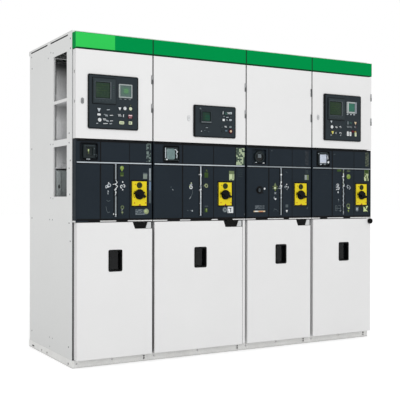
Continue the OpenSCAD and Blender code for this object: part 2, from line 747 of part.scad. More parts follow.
// Rows of push buttons and lamps, as [x, z, radius] counted from the panel's middle
function button_list(i) = [
    [[-95, -49, 7], [-35, -49, 7], [-95, -79, 9], [-55, -79, 7], [-15, -79, 7], [-95, -112, 9],
     [-50, -112, 9], [-10, -112, 7], [40, -34, 8], [78, -34, 8], [115, -34, 9], [48, -79, 9],
     [115, -81, 11], [50, -124, 9], [115, -122, 10]],
    [[64, 63, 7], [89, 63, 7], [119, 63, 8], [64, 39, 7], [94, 39, 7], [64, 17, 8], [119, 21, 8],
     [69, -32, 6], [101, -29, 7], [121, -59, 11], [71, -59, 8], [-66, -43, 6], [-103, -67, 6],
     [-106, 75, 5]],
    [],
    [[-102, -26, 7], [-100, -67, 11], [-55, -67, 9], [-25, -67, 9], [-95, -106, 9],
     [-55, -109, 9], [-21, -109, 9], [51, -29, 8], [79, -29, 8], [121, -24, 9], [51, -64, 8],
     [79, -64, 8], [121, -61, 8], [95, -91, 8], [51, -109, 9], [77, -109, 9], [121, -111, 9]]
][i];

module buttons(i) color("lightgray") in_unit(i) for (b = button_list(i)) {
    at = on_panel(i, b[0], b[1]);
    bar_y(at[0], at[1], b[2], face - 2, face + 1);
    bar_y(at[0], at[1], b[2] - 1.5, face - 5, face - 1);
}
module buttons_1() buttons(0);
module buttons_2() buttons(1);
module buttons_4() buttons(3);

plinths();
walls_1();
walls_2();
walls_3();
walls_4();
frame_posts();
rear_panels();
roof_panels();
headers();
door_frames();
lv_back_plates();
mechanism_plates();
sills();
corner_post();
mechanism_cover_1();
mechanism_cover_2();
mechanism_cover_3();
mechanism_cover_4();
cable_panel_1();
cable_panel_2();
cable_panel_3();
cable_panel_4();
window_bezels();
window_panes();
latch_handles();
latch_brackets();
mimic_strips();
selector_plates();
lever_sockets();
indicators();
indicator_lenses();
key_lock();
labels();
hinge_pins();
upper_door_1();
upper_door_2();
upper_door_3();
upper_door_4();
door_fittings_1();
door_fittings_2();
door_fittings_3();
door_fittings_4();
control_panel_1();
control_panel_2();
control_panel_4();
relay_1();
relay_4();
meter_1();
meter_4();
controller_2();
buttons_1();
buttons_2();
buttons_4();
selector_1();
selector_2();
selector_3();
selector_4();
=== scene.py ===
import math
import random

import bmesh
import bpy
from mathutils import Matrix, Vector


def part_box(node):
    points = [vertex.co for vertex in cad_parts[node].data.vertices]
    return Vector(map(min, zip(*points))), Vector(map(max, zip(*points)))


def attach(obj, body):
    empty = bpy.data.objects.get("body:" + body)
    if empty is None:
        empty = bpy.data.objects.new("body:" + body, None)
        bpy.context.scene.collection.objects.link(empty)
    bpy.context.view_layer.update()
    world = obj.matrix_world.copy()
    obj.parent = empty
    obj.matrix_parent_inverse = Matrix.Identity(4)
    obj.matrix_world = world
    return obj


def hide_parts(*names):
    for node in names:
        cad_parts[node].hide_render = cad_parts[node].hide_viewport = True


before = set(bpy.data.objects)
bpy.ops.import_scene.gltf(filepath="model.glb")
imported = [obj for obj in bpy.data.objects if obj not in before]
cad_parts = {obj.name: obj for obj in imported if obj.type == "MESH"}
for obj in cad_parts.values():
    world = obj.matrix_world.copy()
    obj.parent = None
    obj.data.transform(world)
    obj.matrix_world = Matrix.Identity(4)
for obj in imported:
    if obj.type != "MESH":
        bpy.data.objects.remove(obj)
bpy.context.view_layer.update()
scene = bpy.context.scene

# --- camera
cam_data = bpy.data.cameras.new("view")
cam_data.sensor_width = 36.0
cam_data.lens = 71.65
cam_data.clip_end = 200.0
cam = bpy.data.objects.new("view", cam_data)
cam.location = (-2.8697, -4.9553, 1.0359)
cam.rotation_euler = (math.radians(89.841), math.radians(-0.085), math.radians(-29.58))
scene.collection.objects.link(cam)
scene.camera = cam

# --- places
MM = 0.001
CUBICLES = (1, 2, 3, 4)
COVER_GAP = 5 * MM
PLATE_UP = 164 * MM
SUNK = 1.5 * MM
left = [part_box(f"mechanism_cover_{k}")[0][0] - COVER_GAP for k in CUBICLES]
right = [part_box(f"mechanism_cover_{k}")[1][0] + COVER_GAP for k in CUBICLES]
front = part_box("upper_door_3")[0][1]
field = front + SUNK


def centre(name):
    """A node's middle in x and z, and its front face in y."""
    (x0, y0, z0), (x1, _, z1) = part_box(name)
    return (x0 + x1) / 2, (z0 + z1) / 2, y0


def width_height(name):
    """A node's width and height, in mm."""
    a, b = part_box(name)
    return (b[0] - a[0]) / MM, (b[2] - a[2]) / MM


_, plate_z, plate_front = centre("selector_plates")
foot = plate_z - PLATE_UP
side_y0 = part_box("walls_1")[0][1]


# --- shader nodes
def rgb(r, g, b):
    """Display colour, 0 to 255, as the linear colour that shaders take."""
    lin = [c / 255 / 12.92 if c / 255 <= 0.04045 else ((c / 255 + 0.055) / 1.055) ** 2.4 for c in (r, g, b)]
    return (*lin, 1.0)


def put(nt, socket, value):
    """Sets a constant on a socket, or links another node's output to it."""
    if isinstance(value, bpy.types.NodeSocket):
        nt.links.new(value, socket)
    else:
        socket.default_value = value


def fill(nt, n, **settings):
    """Sets a node's inputs by name, with _ for a space, or its attributes."""
    for key, value in settings.items():
        name = key.replace("_", " ")
        if name in n.inputs:
            put(nt, n.inputs[name], value)
        else:
            setattr(n, key, value)
    return n


def node(nt, kind, **settings):
    return fill(nt, nt.nodes.new(kind), **settings)


def noise(nt, coords, scale, detail=2.0, rough=0.5):
    return node(nt, "ShaderNodeTexNoise", Vector=coords, Scale=scale, Detail=detail,
                Roughness=rough).outputs["Fac"]


def remap(nt, value, a, b, lo=0.3, hi=0.7):
    """The range lo to hi spread over a to b."""
    return node(nt, "ShaderNodeMapRange", Value=value, From_Min=lo, From_Max=hi, To_Min=a,
                To_Max=b).outputs["Result"]


def math_node(nt, op, a, b):
    n = node(nt, "ShaderNodeMath", operation=op)
    put(nt, n.inputs[0], a)
    put(nt, n.inputs[1], b)
    return n.outputs[0]


def blend(nt, fac, a, b, kind="MIX"):
    """Colour a turning into colour b; the inputs 0, 6 and 7 are the ones for colours."""
    n = node(nt, "ShaderNodeMix", data_type="RGBA", blend_type=kind)
    for index, value in ((0, fac), (6, a), (7, b)):
        put(nt, n.inputs[index], value)
    return n.outputs[2]


def times(nt, a, b):
    return math_node(nt, "MULTIPLY", a, b)


def scaled(nt, colour, by):
    return node(nt, "ShaderNodeVectorMath", operation="SCALE", Vector=colour[:3], Scale=by).outputs[0]


def split(nt, vector):
    return node(nt, "ShaderNodeSeparateXYZ", Vector=vector).outputs


def inside(nt, coords, low, high):
    """1 inside the box between the points low and high, 0 outside it; a bound of FAR is left out."""
    xyz = split(nt, coords)
    out = 1.0
    for axis in range(3):
        for op, bound in (("GREATER_THAN", low[axis]), ("LESS_THAN", high[axis])):
            if abs(bound) < FAR:
                out = times(nt, math_node(nt, op, xyz[axis], bound), out)
    return out


def by_height(nt, coords, stops, span=None):
    """Factor read from (height, factor) stops; span runs it out from one x to another."""
    low, high = stops[0][0], stops[-1][0]
    xyz = split(nt, coords)
    ramp = node(nt, "ShaderNodeValToRGB", Fac=remap(nt, xyz["Z"], 0.0, 1.0, low, high))
    bits = ramp.color_ramp.elements
    while len(bits) < len(stops):
        bits.new(0.5)
    for bit, (z, f) in zip(bits, stops):
        bit.position = (z - low) / (high - low)
        bit.color = (f, f, f, 1.0)
    if not span:
        return ramp.outputs[0]
    return times(nt, ramp.outputs[0], remap(nt, xyz["X"], 1.0, 0.0, *span))


# --- materials
FAR = 100.0
M = {}


def start(name):
    """New material in M: its node tree, its shader and its object coordinates."""
    m = M[name] = bpy.data.materials.new(name)
    m.use_nodes = True
    nt = m.node_tree
    return nt, nt.nodes["Principled BSDF"], node(nt, "ShaderNodeTexCoord").outputs["Object"]


def surface(name, colour, rough=0.4, metal=0.0, cloud=(3, 0.02), grain=(220, 0.015),
            bump=(600, 0.12, 0.0001), edge=(0.0012, 0), occlusion_shade=0.0, spec=0.5, reach=0.012,
            depth=0.35, zone=None, fade=None):
    """Paint, moulded plastic or metal: colour drift, fine grain, rounded edges, orange peel.
    zone is a second colour and a box in space that takes it; fade is a colour that comes in by height."""
    nt, bsdf, coords = start(name)
    colour = rgb(*colour)
    drift = remap(nt, noise(nt, coords, cloud[0], 4.0, 0.6), 1 - cloud[1], 1 + cloud[1])
    fine = remap(nt, noise(nt, coords, grain[0]), 1 - grain[1], 1 + grain[1])
    out = scaled(nt, colour, times(nt, drift, fine))
    if zone:
        out = blend(nt, inside(nt, coords, *zone[1:]), out, rgb(*zone[0]))
    if fade:
        out = blend(nt, by_height(nt, coords, *fade[1:]), out, rgb(*fade[0]))
    bevel = node(nt, "ShaderNodeBevel", samples=4, Radius=edge[0]).outputs[0]
    # Edges lighter than the face: partly wear, partly a painted highlight
    if edge[1]:
        dot = node(nt, "ShaderNodeVectorMath", operation="DOT_PRODUCT")
        put(nt, dot.inputs[0], bevel)
        put(nt, dot.inputs[1], node(nt, "ShaderNodeNewGeometry").outputs["Normal"])
        edge_wear_and_highlight = remap(nt, dot.outputs["Value"], 1.0, 0.0, 0.85, 0.99)
        edge_wear_and_highlight = times(nt, edge_wear_and_highlight, remap(nt, noise(nt, coords, 60.0, 3.0), 0.35, 1.0))
        lighter = tuple(min(1.0, c * (1 + edge[1]) + 0.02 * edge[1]) for c in colour[:3]) + (1.0,)
        out = blend(nt, edge_wear_and_highlight, out, lighter)
    # Darkening by ambient occlusion in hollows, seams and slits: painted shade
    if occlusion_shade:
        ao = node(nt, "ShaderNodeAmbientOcclusion", samples=6, Distance=reach)
        shade_amount = remap(nt, ao.outputs["AO"], occlusion_shade, 0.0, 0.25, 0.75)
        out = blend(nt, shade_amount, out, (depth, depth, depth, 1.0), "MULTIPLY")
    peel = node(nt, "ShaderNodeBump", Strength=bump[1], Distance=bump[2],
                Height=noise(nt, coords, bump[0]), Normal=bevel)
    fill(nt, bsdf, Base_Color=out, Normal=peel.outputs[0], Metallic=metal, Specular_IOR_Level=spec,
         Roughness=remap(nt, noise(nt, coords, 35.0, 3.0), rough - 0.05, rough + 0.05))


def printed(name, colour, rough=0.5, vary=0.08):
    """Printing ink or film, slightly uneven."""
    surface(name, colour, rough, cloud=(40, vary), grain=(900, vary * 0.6), bump=(1500, 0.05, 0.00005),
            edge=(0.0003, 0), spec=0.12)


def cells(name, paper, ink, size, cover, seed):
    """Label film with a pattern of little blocks, size in mm, instead of any wording; seed shifts it."""
    nt, bsdf, coords = start(name)
    paper = rgb(*paper)
    shift = node(nt, "ShaderNodeMapping", Vector=coords, Location=(seed, 0.0, seed * 1.7),
                 Scale=(1000 / size[0], 1.0, 1000 / size[1]))
    cell = split(nt, node(nt, "ShaderNodeVectorMath", operation="FLOOR", Vector=shift.outputs[0]).outputs[0])
    flat = node(nt, "ShaderNodeCombineXYZ", X=cell["X"], Y=cell["Z"])
    white = node(nt, "ShaderNodeTexWhiteNoise", noise_dimensions="2D", Vector=flat.outputs[0])
    on = remap(nt, white.outputs["Value"], 0.0, 1.0, cover - 0.03, cover + 0.03)
    drift = remap(nt, noise(nt, coords, 60.0, 3.0), 0.0, 0.35)
    base = blend(nt, drift, paper, tuple(c * 0.8 for c in paper[:3]) + (1.0,))
    fill(nt, bsdf, Base_Color=blend(nt, on, rgb(*ink), base), Specular_IOR_Level=0.12,
         Roughness=remap(nt, noise(nt, coords, 300.0), 0.4, 0.5))


def glass(name, colour):
    """Clear dark pane with a faint drift of tone."""
    nt, bsdf, coords = start(name)
    tint = scaled(nt, rgb(*colour), remap(nt, noise(nt, coords, 12.0, 3.0), 0.85, 1.1))
    fill(nt, bsdf, Base_Color=tint, Roughness=remap(nt, noise(nt, coords, 90.0, 3.0), 0.06, 0.1),
         Transmission_Weight=0.85, IOR=1.34, Specular_IOR_Level=0.05)


def screen(name, back, ink, pitch=0.0016):
    """LCD glass: faint pixel rows and a slow drift of tone."""
    nt, bsdf, coords = start(name)
    back, ink = rgb(*back), rgb(*ink)
    scale = node(nt, "ShaderNodeMapping", Vector=coords, Scale=(1 / pitch, 1.0, 1 / pitch))
    wave = node(nt, "ShaderNodeVectorMath", operation="FRACTION", Vector=scale.outputs[0])
    part = split(nt, wave.outputs[0])
    grid = times(nt, *(remap(nt, part[axis], 0.0, 1.0, 0.05, 0.2) for axis in "XZ"))
    drift = remap(nt, noise(nt, coords, 25.0, 3.0), 0.0, 0.5)
    fill(nt, bsdf, Base_Color=blend(nt, grid, ink, blend(nt, drift, back, ink)), Specular_IOR_Level=0.15,
         Roughness=remap(nt, noise(nt, coords, 80.0, 3.0), 0.2, 0.3))


# Most materials below are darkened in hollows, seams and slits by ambient occlusion: painted shade,
# strongest on the front paint and the frames
surface("front_paint", (236, 236, 236), 0.42, cloud=(2.2, 0.012), grain=(260, 0.008),
        edge=(0.0014, 0), spec=0.3, occlusion_shade=0.85, reach=0.03, depth=0.12)
surface("frame_paint", (200, 202, 202), 0.5, cloud=(6, 0.03), grain=(260, 0.02),
        edge=(0.001, 0), spec=0.2, occlusion_shade=1.0, reach=0.05, depth=0.08)
# The side sheets get darker towards the bottom: painted shade
surface("side_paint", (236, 237, 236), 0.45, cloud=(1.6, 0.015), grain=(260, 0.01), occlusion_shade=0.6,
        reach=0.02, fade=((222, 223, 222), [(0.1, 1), (0.95, 0)]))
# The posts' front faces, seen in the gaps between the panels, are dark: painted shade in those gaps
surface("post_paint", (226, 228, 228), 0.45, cloud=(5, 0.03), grain=(260, 0.02), occlusion_shade=0.5,
        reach=0.03, zone=((62, 64, 66), (-FAR, -FAR, -FAR), (FAR, side_y0 + 3 * MM, FAR)))
surface("plinth", (238, 238, 236), 0.5, cloud=(9, 0.05), grain=(120, 0.03),
        edge=(0.001, 0), occlusion_shade=0.8, reach=0.02, depth=0.2)
# Dark bands by height near the row's left end, seen through the side openings: painted shadow of the roof
# and the cross bars
surface("inner_sheet", (252, 253, 254), 0.55, cloud=(14, 0.05), grain=(90, 0.03), occlusion_shade=0.6,
        reach=0.03, depth=0.3,
        fade=((30, 33, 34), [(1.22, 0), (1.34, 0.35), (1.4, 0.35), (1.42, 0), (1.52, 0), (1.62, 0.62),
                             (1.65, 0.05), (1.7, 0.16), (1.8, 0.46), (1.85, 0.77), (1.875, 0.95)],
              (left[0] + 0.2, left[0] + 0.45)))
surface("mechanism_sheet", (188, 196, 196), 0.5, cloud=(18, 0.08), grain=(140, 0.06), occlusion_shade=0.6,
        reach=0.03, depth=0.3)
surface("header_green", (0, 146, 73), 0.45, grain=(260, 0.012), edge=(0.0016, 0), spec=0.01,
        occlusion_shade=0.3)
surface("light_green", (50, 203, 88), 0.45, cloud=(4, 0.015), grain=(260, 0.01),
        edge=(0.0003, 0), spec=0.05)
# The covers' tongues are black from the second field on: painted shade, standing for the dark recess seen
# there
surface("cover_plastic", (30, 39, 47), 0.55, cloud=(5, 0.06), grain=(700, 0.08),
        bump=(1400, 0.35, 0.00025), edge=(0.0012, 0.25), spec=0.12, occlusion_shade=1.0, reach=0.02, depth=0.1,
        zone=((10, 11, 12), (left[0] + 85.5 * MM, -FAR, -FAR), (FAR, FAR, foot - 0.5 * MM)))
surface("black_plastic", (9, 10, 11), cloud=(30, 0.1), grain=(900, 0.1),
        bump=(1500, 0.3, 0.0002), edge=(0.001, 0.7), spec=0.12)
surface("silver_strip", (150, 158, 166), 0.45, cloud=(40, 0.08), grain=(300, 0.06),
        edge=(0.0005, 0), spec=0.2)
surface("yellow_plate", (232, 210, 30), cloud=(22, 0.05), grain=(500, 0.03),
        edge=(0.0008, 0), spec=0.2, occlusion_shade=0.3)
printed("label_print", (206, 214, 168), 0.5, 0.1)
surface("bracket", (205, 207, 208), 0.4, 0.25, cloud=(20, 0.05), grain=(300, 0.04), occlusion_shade=0.5)
surface("hinge_steel", (96, 98, 100), cloud=(40, 0.12), grain=(600, 0.1), edge=(0.0006, 0.4),
        occlusion_shade=0.8)
# Locks on the doors' left; the hinge leaves on their right take the second colour
for k, lock, leaf in ((1, 138, 166), (2, 222, 166), (3, 222, 70), (4, 196, 166)):
    middle = (left[k - 1] + right[k - 1]) / 2
    surface(f"fittings_{k}", (lock, lock + 2, lock + 3), cloud=(40, 0.06), grain=(600, 0.05),
            edge=(0.0006, 0.1), occlusion_shade=0.8, depth=0.2,
            zone=((leaf, leaf + 2, leaf + 4), (middle, -FAR, -FAR), (FAR, FAR, FAR)))
surface("panel_plastic", (43, 51, 56), 0.5, cloud=(12, 0.06), grain=(800, 0.07),
        bump=(1500, 0.3, 0.0002), edge=(0.0012, 0.3), spec=0.12, occlusion_shade=0.9, reach=0.01, depth=0.2)
surface("relay_plastic", (49, 58, 62), 0.5, cloud=(20, 0.05), grain=(800, 0.06),
        bump=(1500, 0.3, 0.0002), edge=(0.001, 0.4), spec=0.15, occlusion_shade=0.9, depth=0.2)
surface("meter_bezel", (178, 186, 186), cloud=(30, 0.05), grain=(800, 0.04),
        edge=(0.001, 0.2), spec=0.25, occlusion_shade=0.7, depth=0.2)
surface("housing", (34, 42, 44), 0.42, cloud=(20, 0.08), grain=(700, 0.08), edge=(0.001, 0.4),
        spec=0.15, occlusion_shade=0.6)
surface("screw", (168, 170, 172), 0.34, 0.6, cloud=(80, 0.1), grain=(900, 0.1),
        edge=(0.0004, 0.2), occlusion_shade=0.4)
surface("dark_screw", (74, 76, 78), 0.4, 0.3, cloud=(80, 0.1), grain=(900, 0.1),
        edge=(0.0004, 0.2), occlusion_shade=0.4)
# Near-black for screws' cross recesses and for the strips behind holes and slots: painted shade
surface("hole", (26, 27, 29), 0.7, cloud=(60, 0.15), grain=(500, 0.1), spec=0.1)
surface("socket", (56, 62, 36), 0.5, cloud=(60, 0.12), grain=(700, 0.1), edge=(0.0008, 0.3),
        spec=0.1, occlusion_shade=0.8, depth=0.3)
glass("window_pane", (31, 37, 41))
for key, colour, rough in (("lens_dark", (24, 33, 34), 0.2), ("lens_grey", (112, 134, 134), 0.25),
                           ("lens_lilac", (202, 210, 226), 0.25), ("lens_black", (16, 19, 21), 0.2)):
    surface(key, colour, rough, cloud=(50, 0.15), spec=0.25)
for key, back, ink in (
        ("lcd_olive", (44, 64, 50), (36, 54, 42)), ("lcd_olive2", (42, 62, 44), (34, 52, 38)),
        ("lcd_meter", (96, 118, 112), (78, 98, 92)), ("lcd_deep", (28, 72, 57), (26, 62, 50)),
        ("lcd_mid", (92, 122, 106), (80, 108, 96)), ("lcd_teal", (62, 122, 104), (48, 100, 86)),
        ("lcd_dark", (34, 62, 52), (28, 50, 44)), ("lcd_green", (90, 132, 98), (96, 146, 98))):
    screen(key, back, ink)

INKS = {
    "white": (222, 226, 228), "pale": (190, 198, 204), "grey": (146, 154, 158), "dim": (84, 94, 98),
    "faint": (66, 76, 82), "ygreen": (128, 150, 66), "dgreen": (54, 76, 34), "green": (62, 112, 78),
    "cream": (208, 190, 158), "red": (120, 34, 48), "orange": (196, 112, 66), "yellow": (214, 204, 96),
    "black": (10, 11, 13), "blue": (112, 134, 160), "pink": (226, 196, 200), "olive": (96, 106, 66),
    "pgreen": (176, 192, 140), "lgreen": (208, 218, 184), "cover": (30, 39, 47), "rust": (178, 60, 44),
    "steel": (136, 142, 152), "sage": (150, 160, 122), "moss": (106, 120, 86), "night": (12, 15, 18),
    "shade": (44, 54, 58), "teal": (62, 108, 96), "maroon": (94, 26, 40), "slate": (92, 112, 126),
    "joint": (4, 62, 34),
}
for key, colour in INKS.items():
    printed("ink_" + key, colour)
for key, paper, ink, size, cover, seed in (
        ("tag_1", (116, 132, 128), (40, 50, 54), (11, 9), 0.55, 0.3),
        ("tag_2", (172, 188, 156), (62, 78, 68), (11, 11), 0.42, 1.1),
        ("tag_3", (50, 56, 62), (36, 42, 48), (9, 8), 0.5, 2.8),
        ("tag_4", (92, 100, 86), (54, 62, 54), (9, 9), 0.45, 2.2),
        ("tag_foot_1", (112, 122, 128), (70, 80, 86), (9, 6), 0.5, 3.0),
        ("tag_foot_3", (96, 104, 110), (60, 68, 74), (9, 7), 0.5, 5.0),
        ("tag_foot_4", (206, 222, 162), (38, 48, 30), (11, 10), 0.4, 6.0),
        ("tag_over_2", (198, 212, 168), (128, 142, 106), (9, 20), 0.45, 7.0),
        ("tag_over_4", (196, 208, 164), (84, 98, 62), (8, 11), 0.45, 8.0),
        ("tag_over_1", (130, 142, 134), (84, 92, 96), (7, 20), 0.5, 9.0)):
    cells(key, paper, ink, size, cover, seed)


# --- mesh building
def oval(x, z, w, h, r, n=6):
    """Rounded rectangle in the x-z plane, as points that run round it."""
    pts = []
    r = max(min(r, w / 2 - 1e-6, h / 2 - 1e-6), 1e-6)
    for cx, cz, a0 in ((w / 2 - r, h / 2 - r, 0), (-w / 2 + r, h / 2 - r, 90),
                       (-w / 2 + r, -h / 2 + r, 180), (w / 2 - r, -h / 2 + r, 270)):
        for s in range(n + 1):
            a = math.radians(a0 + 90 * s / n)
            pts.append((x + cx + r * math.cos(a), z + cz + r * math.sin(a)))
    return pts


def circle(x, z, r, n=28):
    return [(x + r * math.cos(2 * math.pi * s / n), z + r * math.sin(2 * math.pi * s / n))
            for s in range(n)]


def at_depth(pts, y):
    return [(px, y, pz) for px, pz in pts]


def soft_edge(y0, y1, soft):
    """Inset and depth of the four rings of a body whose front edge is softened."""
    return (0, y1), (0, y0 + soft), (soft * 0.3, y0 + soft * 0.3), (soft, y0)


class Piece:
    """One mesh piece made of many closed bits. Lengths are in metres, the front faces -Y."""

    def __init__(self, name):
        self.name, self.bm, self.slots = name, bmesh.new(), []

    def paint(self, faces, mat):
        if mat not in self.slots:
            self.slots.append(mat)
        for f in faces:
            f.material_index = self.slots.index(mat)
            f.smooth = True

    def band(self, a, b):
        """Faces between two rings of vertices."""
        n = len(a)
        return [self.bm.faces.new((a[s], a[(s + 1) % n], b[(s + 1) % n], b[s])) for s in range(n)]

    def loft(self, rings, mat, caps=True):
        """Skins rings of the same number of 3-D points, in order, and caps both ends."""
        rows = [[self.bm.verts.new(p) for p in ring] for ring in rings]
        made = [f for a, b in zip(rows, rows[1:]) for f in self.band(a, b)]
        if caps:
            made += [self.bm.faces.new(rows[0][::-1]), self.bm.faces.new(rows[-1])]
        self.paint(made, mat)

    def slab(self, x, z, w, h, r, y0, y1, mat, soft=0.0004):
        """Rounded slab from its front y0 back to y1."""
        soft = min(soft, (y1 - y0) * 0.7, w * 0.2, h * 0.2)
        self.loft([at_depth(oval(x, z, w - 2 * inset, h - 2 * inset, max(r - inset, 1e-5)), y)
                   for inset, y in soft_edge(y0, y1, soft)], mat)

    def disc(self, x, z, r, y0, y1, mat, soft=0.0004, n=28, dome=0.0):
        soft = min(soft, (y1 - y0) * 0.7, r * 0.3)
        rings = [at_depth(circle(x, z, r - inset, n), y) for inset, y in soft_edge(y0, y1, soft)]
        if dome:
            rings += [at_depth(circle(x, z, (r - soft) * f, n), y0 - dome * math.sqrt(1 - f * f))
                      for f in (0.75, 0.4, 0.12)]
        self.loft(rings, mat)

    def ring(self, x, z, r0, r1, y0, y1, mat, n=32):
        """Flat ring between radius r0 and r1."""
        rows = [[self.bm.verts.new(p) for p in at_depth(circle(x, z, r, n), y)]
                for r, y in ((r0, y1), (r0, y0), (r1, y0), (r1, y1))]
        self.paint([f for i in range(4) for f in self.band(rows[i], rows[(i + 1) % 4])], mat)

    def polygon(self, pts, y0, y1, mat):
        self.loft([at_depth(pts, y) for y in (y1, y0)], mat)

    def stroke(self, x0, z0, x1, z1, w, y0, y1, mat):
        """Straight stroke of width w."""
        e = Vector((z0 - z1, x1 - x0)).normalized() * (w / 2)
        self.polygon([(x0 - e.x, z0 - e.y), (x1 - e.x, z1 - e.y), (x1 + e.x, z1 + e.y),
                      (x0 + e.x, z0 + e.y)], y0, y1, mat)

    def build(self, body, replaces=()):
        bmesh.ops.recalc_face_normals(self.bm, faces=self.bm.faces)
        mesh = bpy.data.meshes.new(self.name)
        self.bm.to_mesh(mesh)
        self.bm.free()
        mesh.set_sharp_from_angle(angle=math.radians(38))
        for mat in self.slots:
            mesh.materials.append(M[mat])
        obj = bpy.data.objects.new(self.name, mesh)
        scene.collection.objects.link(obj)
        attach(obj, body)
        if replaces:
            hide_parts(*replaces)


class Print:
    """Prints and small parts on a front face, placed in mm from the point x0, z0 of the plane y.
    Depths are in mm behind the plane, and prints stand proud of it."""

    def __init__(self, piece, x0, z0, y, thick=0.25):
        self.p, self.x0, self.z0, self.y = piece, x0, z0, y
        self.y0, self.y1 = y - thick * MM, y + 0.05 * MM

    def at(self, x, z):
        return self.x0 + x * MM, self.z0 + z * MM

    def slab(self, x, z, w, h, r, near, far, mat, soft=0.4):
        self.p.slab(*self.at(x, z), w * MM, h * MM, r * MM, self.y + near * MM, self.y + far * MM, mat,
                    soft * MM)

    def disc(self, x, z, r, near, far, mat, soft=0.4, n=28, dome=0.0):
        self.p.disc(*self.at(x, z), r * MM, self.y + near * MM, self.y + far * MM, mat, soft * MM, n,
                    dome * MM)

    def next(self, ink):
        """Front, back and material of the next stroke. Each lies a little proud of the one before, so
        that no two faces coincide."""
        self.y0 -= 0.006 * MM
        return self.y0, self.y1, "ink_" + ink

    def line(self, x0, z0, x1, z1, w, ink):
        self.p.stroke(*self.at(x0, z0), *self.at(x1, z1), w * MM, *self.next(ink))

    def frame(self, x, z, level, upright, w, ink, right=None):
        """Four lines x and z away from the middle, reaching level and upright on both sides of it."""
        for s, side in ((-1, ink), (1, right or ink)):
            self.line(s * x, -upright, s * x, upright, w, side)
            self.line(-level, s * z, level, s * z, w, ink)

    def path(self, pts, w, ink):
        for a, b in zip(pts, pts[1:]):
            self.line(*a, *b, w, ink)

    def dot(self, x, z, r, ink, n=20):
        self.p.disc(*self.at(x, z), r * MM, *self.next(ink), 0.00005, n)

    def hoop(self, x, z, r, w, ink):
        self.p.ring(*self.at(x, z), (r - w / 2) * MM, (r + w / 2) * MM, *self.next(ink))

    def arc(self, x, z, r, a0, a1, w, ink, n=8):
        turns = [math.radians(a0 + (a1 - a0) * s / n) for s in range(n + 1)]
        self.path([(x + r * math.cos(a), z + r * math.sin(a)) for a in turns], w, ink)

    def block(self, x, z, w, h, ink, r=1.0):
        self.p.slab(*self.at(x, z), w * MM, h * MM, r * MM, *self.next(ink), 0.00005)

    def cross(self, x, z, ink, s=1.0, w=3.5):
        for way in (-1, 1):
            self.line(x - 9 * s, z + 9 * s * way, x + 9 * s, z - 9 * s * way, w, ink)

    def arrow(self, x, z, ink, s=1.0, up=True):
        t = s if up else -s
        self.p.polygon([self.at(x - 7 * s, z - 5 * t), self.at(x + 7 * s, z - 5 * t), self.at(x, z + 9 * t)],
                       *self.next(ink))

    def dashes(self, x, z, w, h, rows, ink, seed):
        """Rows of unequal dashes that stand for small print."""
        rnd = random.Random(seed)
        step = h / rows
        for k in range(rows):
            zz = z + h / 2 - (k + 0.5) * step
            xx = x - w / 2
            while xx < x + w / 2 - 2:
                run = min(rnd.uniform(2.5, 8.0), x + w / 2 - xx)
                self.line(xx, zz, xx + run, zz, step * 0.5, ink)
                xx += run + rnd.uniform(1.5, 3.0)


# --- materials of the CAD nodes
MATERIAL_NODES = {
    "plinth": "plinths", "frame_paint": "door_frames", "post_paint": "frame_posts",
    "side_paint": "walls rear_panels roof_panels", "front_paint": "sills corner_post cable_panel upper_door",
    "header_green": "headers", "inner_sheet": "lv_back_plates", "mechanism_sheet": "mechanism_plates",
    "cover_plastic": "mechanism_cover", "black_plastic": "window_bezels latch_handles selector key_lock",
    "window_pane": "window_panes", "bracket": "latch_brackets", "silver_strip": "mimic_strips",
    "yellow_plate": "selector_plates", "socket": "lever_sockets", "housing": "indicators",
    "lens_dark": "indicator_lenses", "label_print": "labels", "hinge_steel": "hinge_pins",
    "panel_plastic": "control_panel", "relay_plastic": "relay controller", "meter_bezel": "meter buttons",
}
node_material = {kind: mat for mat, kinds in MATERIAL_NODES.items() for kind in kinds.split()}
for name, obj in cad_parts.items():
    kind = name.rstrip("_1234")
    mat = f"fittings_{name[-1]}" if kind == "door_fittings" else node_material[kind]
    if not obj.material_slots:
        obj.data.materials.append(None)
    for place in obj.material_slots:
        place.material = M[mat]

# --- header film: a light green field, dark joints between the headers and a dark lower edge
a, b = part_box("headers")
high = (b[2] - a[2]) / MM
p = Piece("header_film")
d = Print(p, left[0], a[2], front, 0.3)
d.slab(131, high / 2, 256, high - 4, 1, -0.3, 0, "light_green", 0.1)
for x in left[1:]:
    joint = (x - left[0]) / MM
    d.line(joint, 3, joint, high - 3, 8, "joint")
d.line(6, 2.5, (right[3] - left[0]) / MM - 6, 2.5, 5, "joint")
p.build("cubicles")

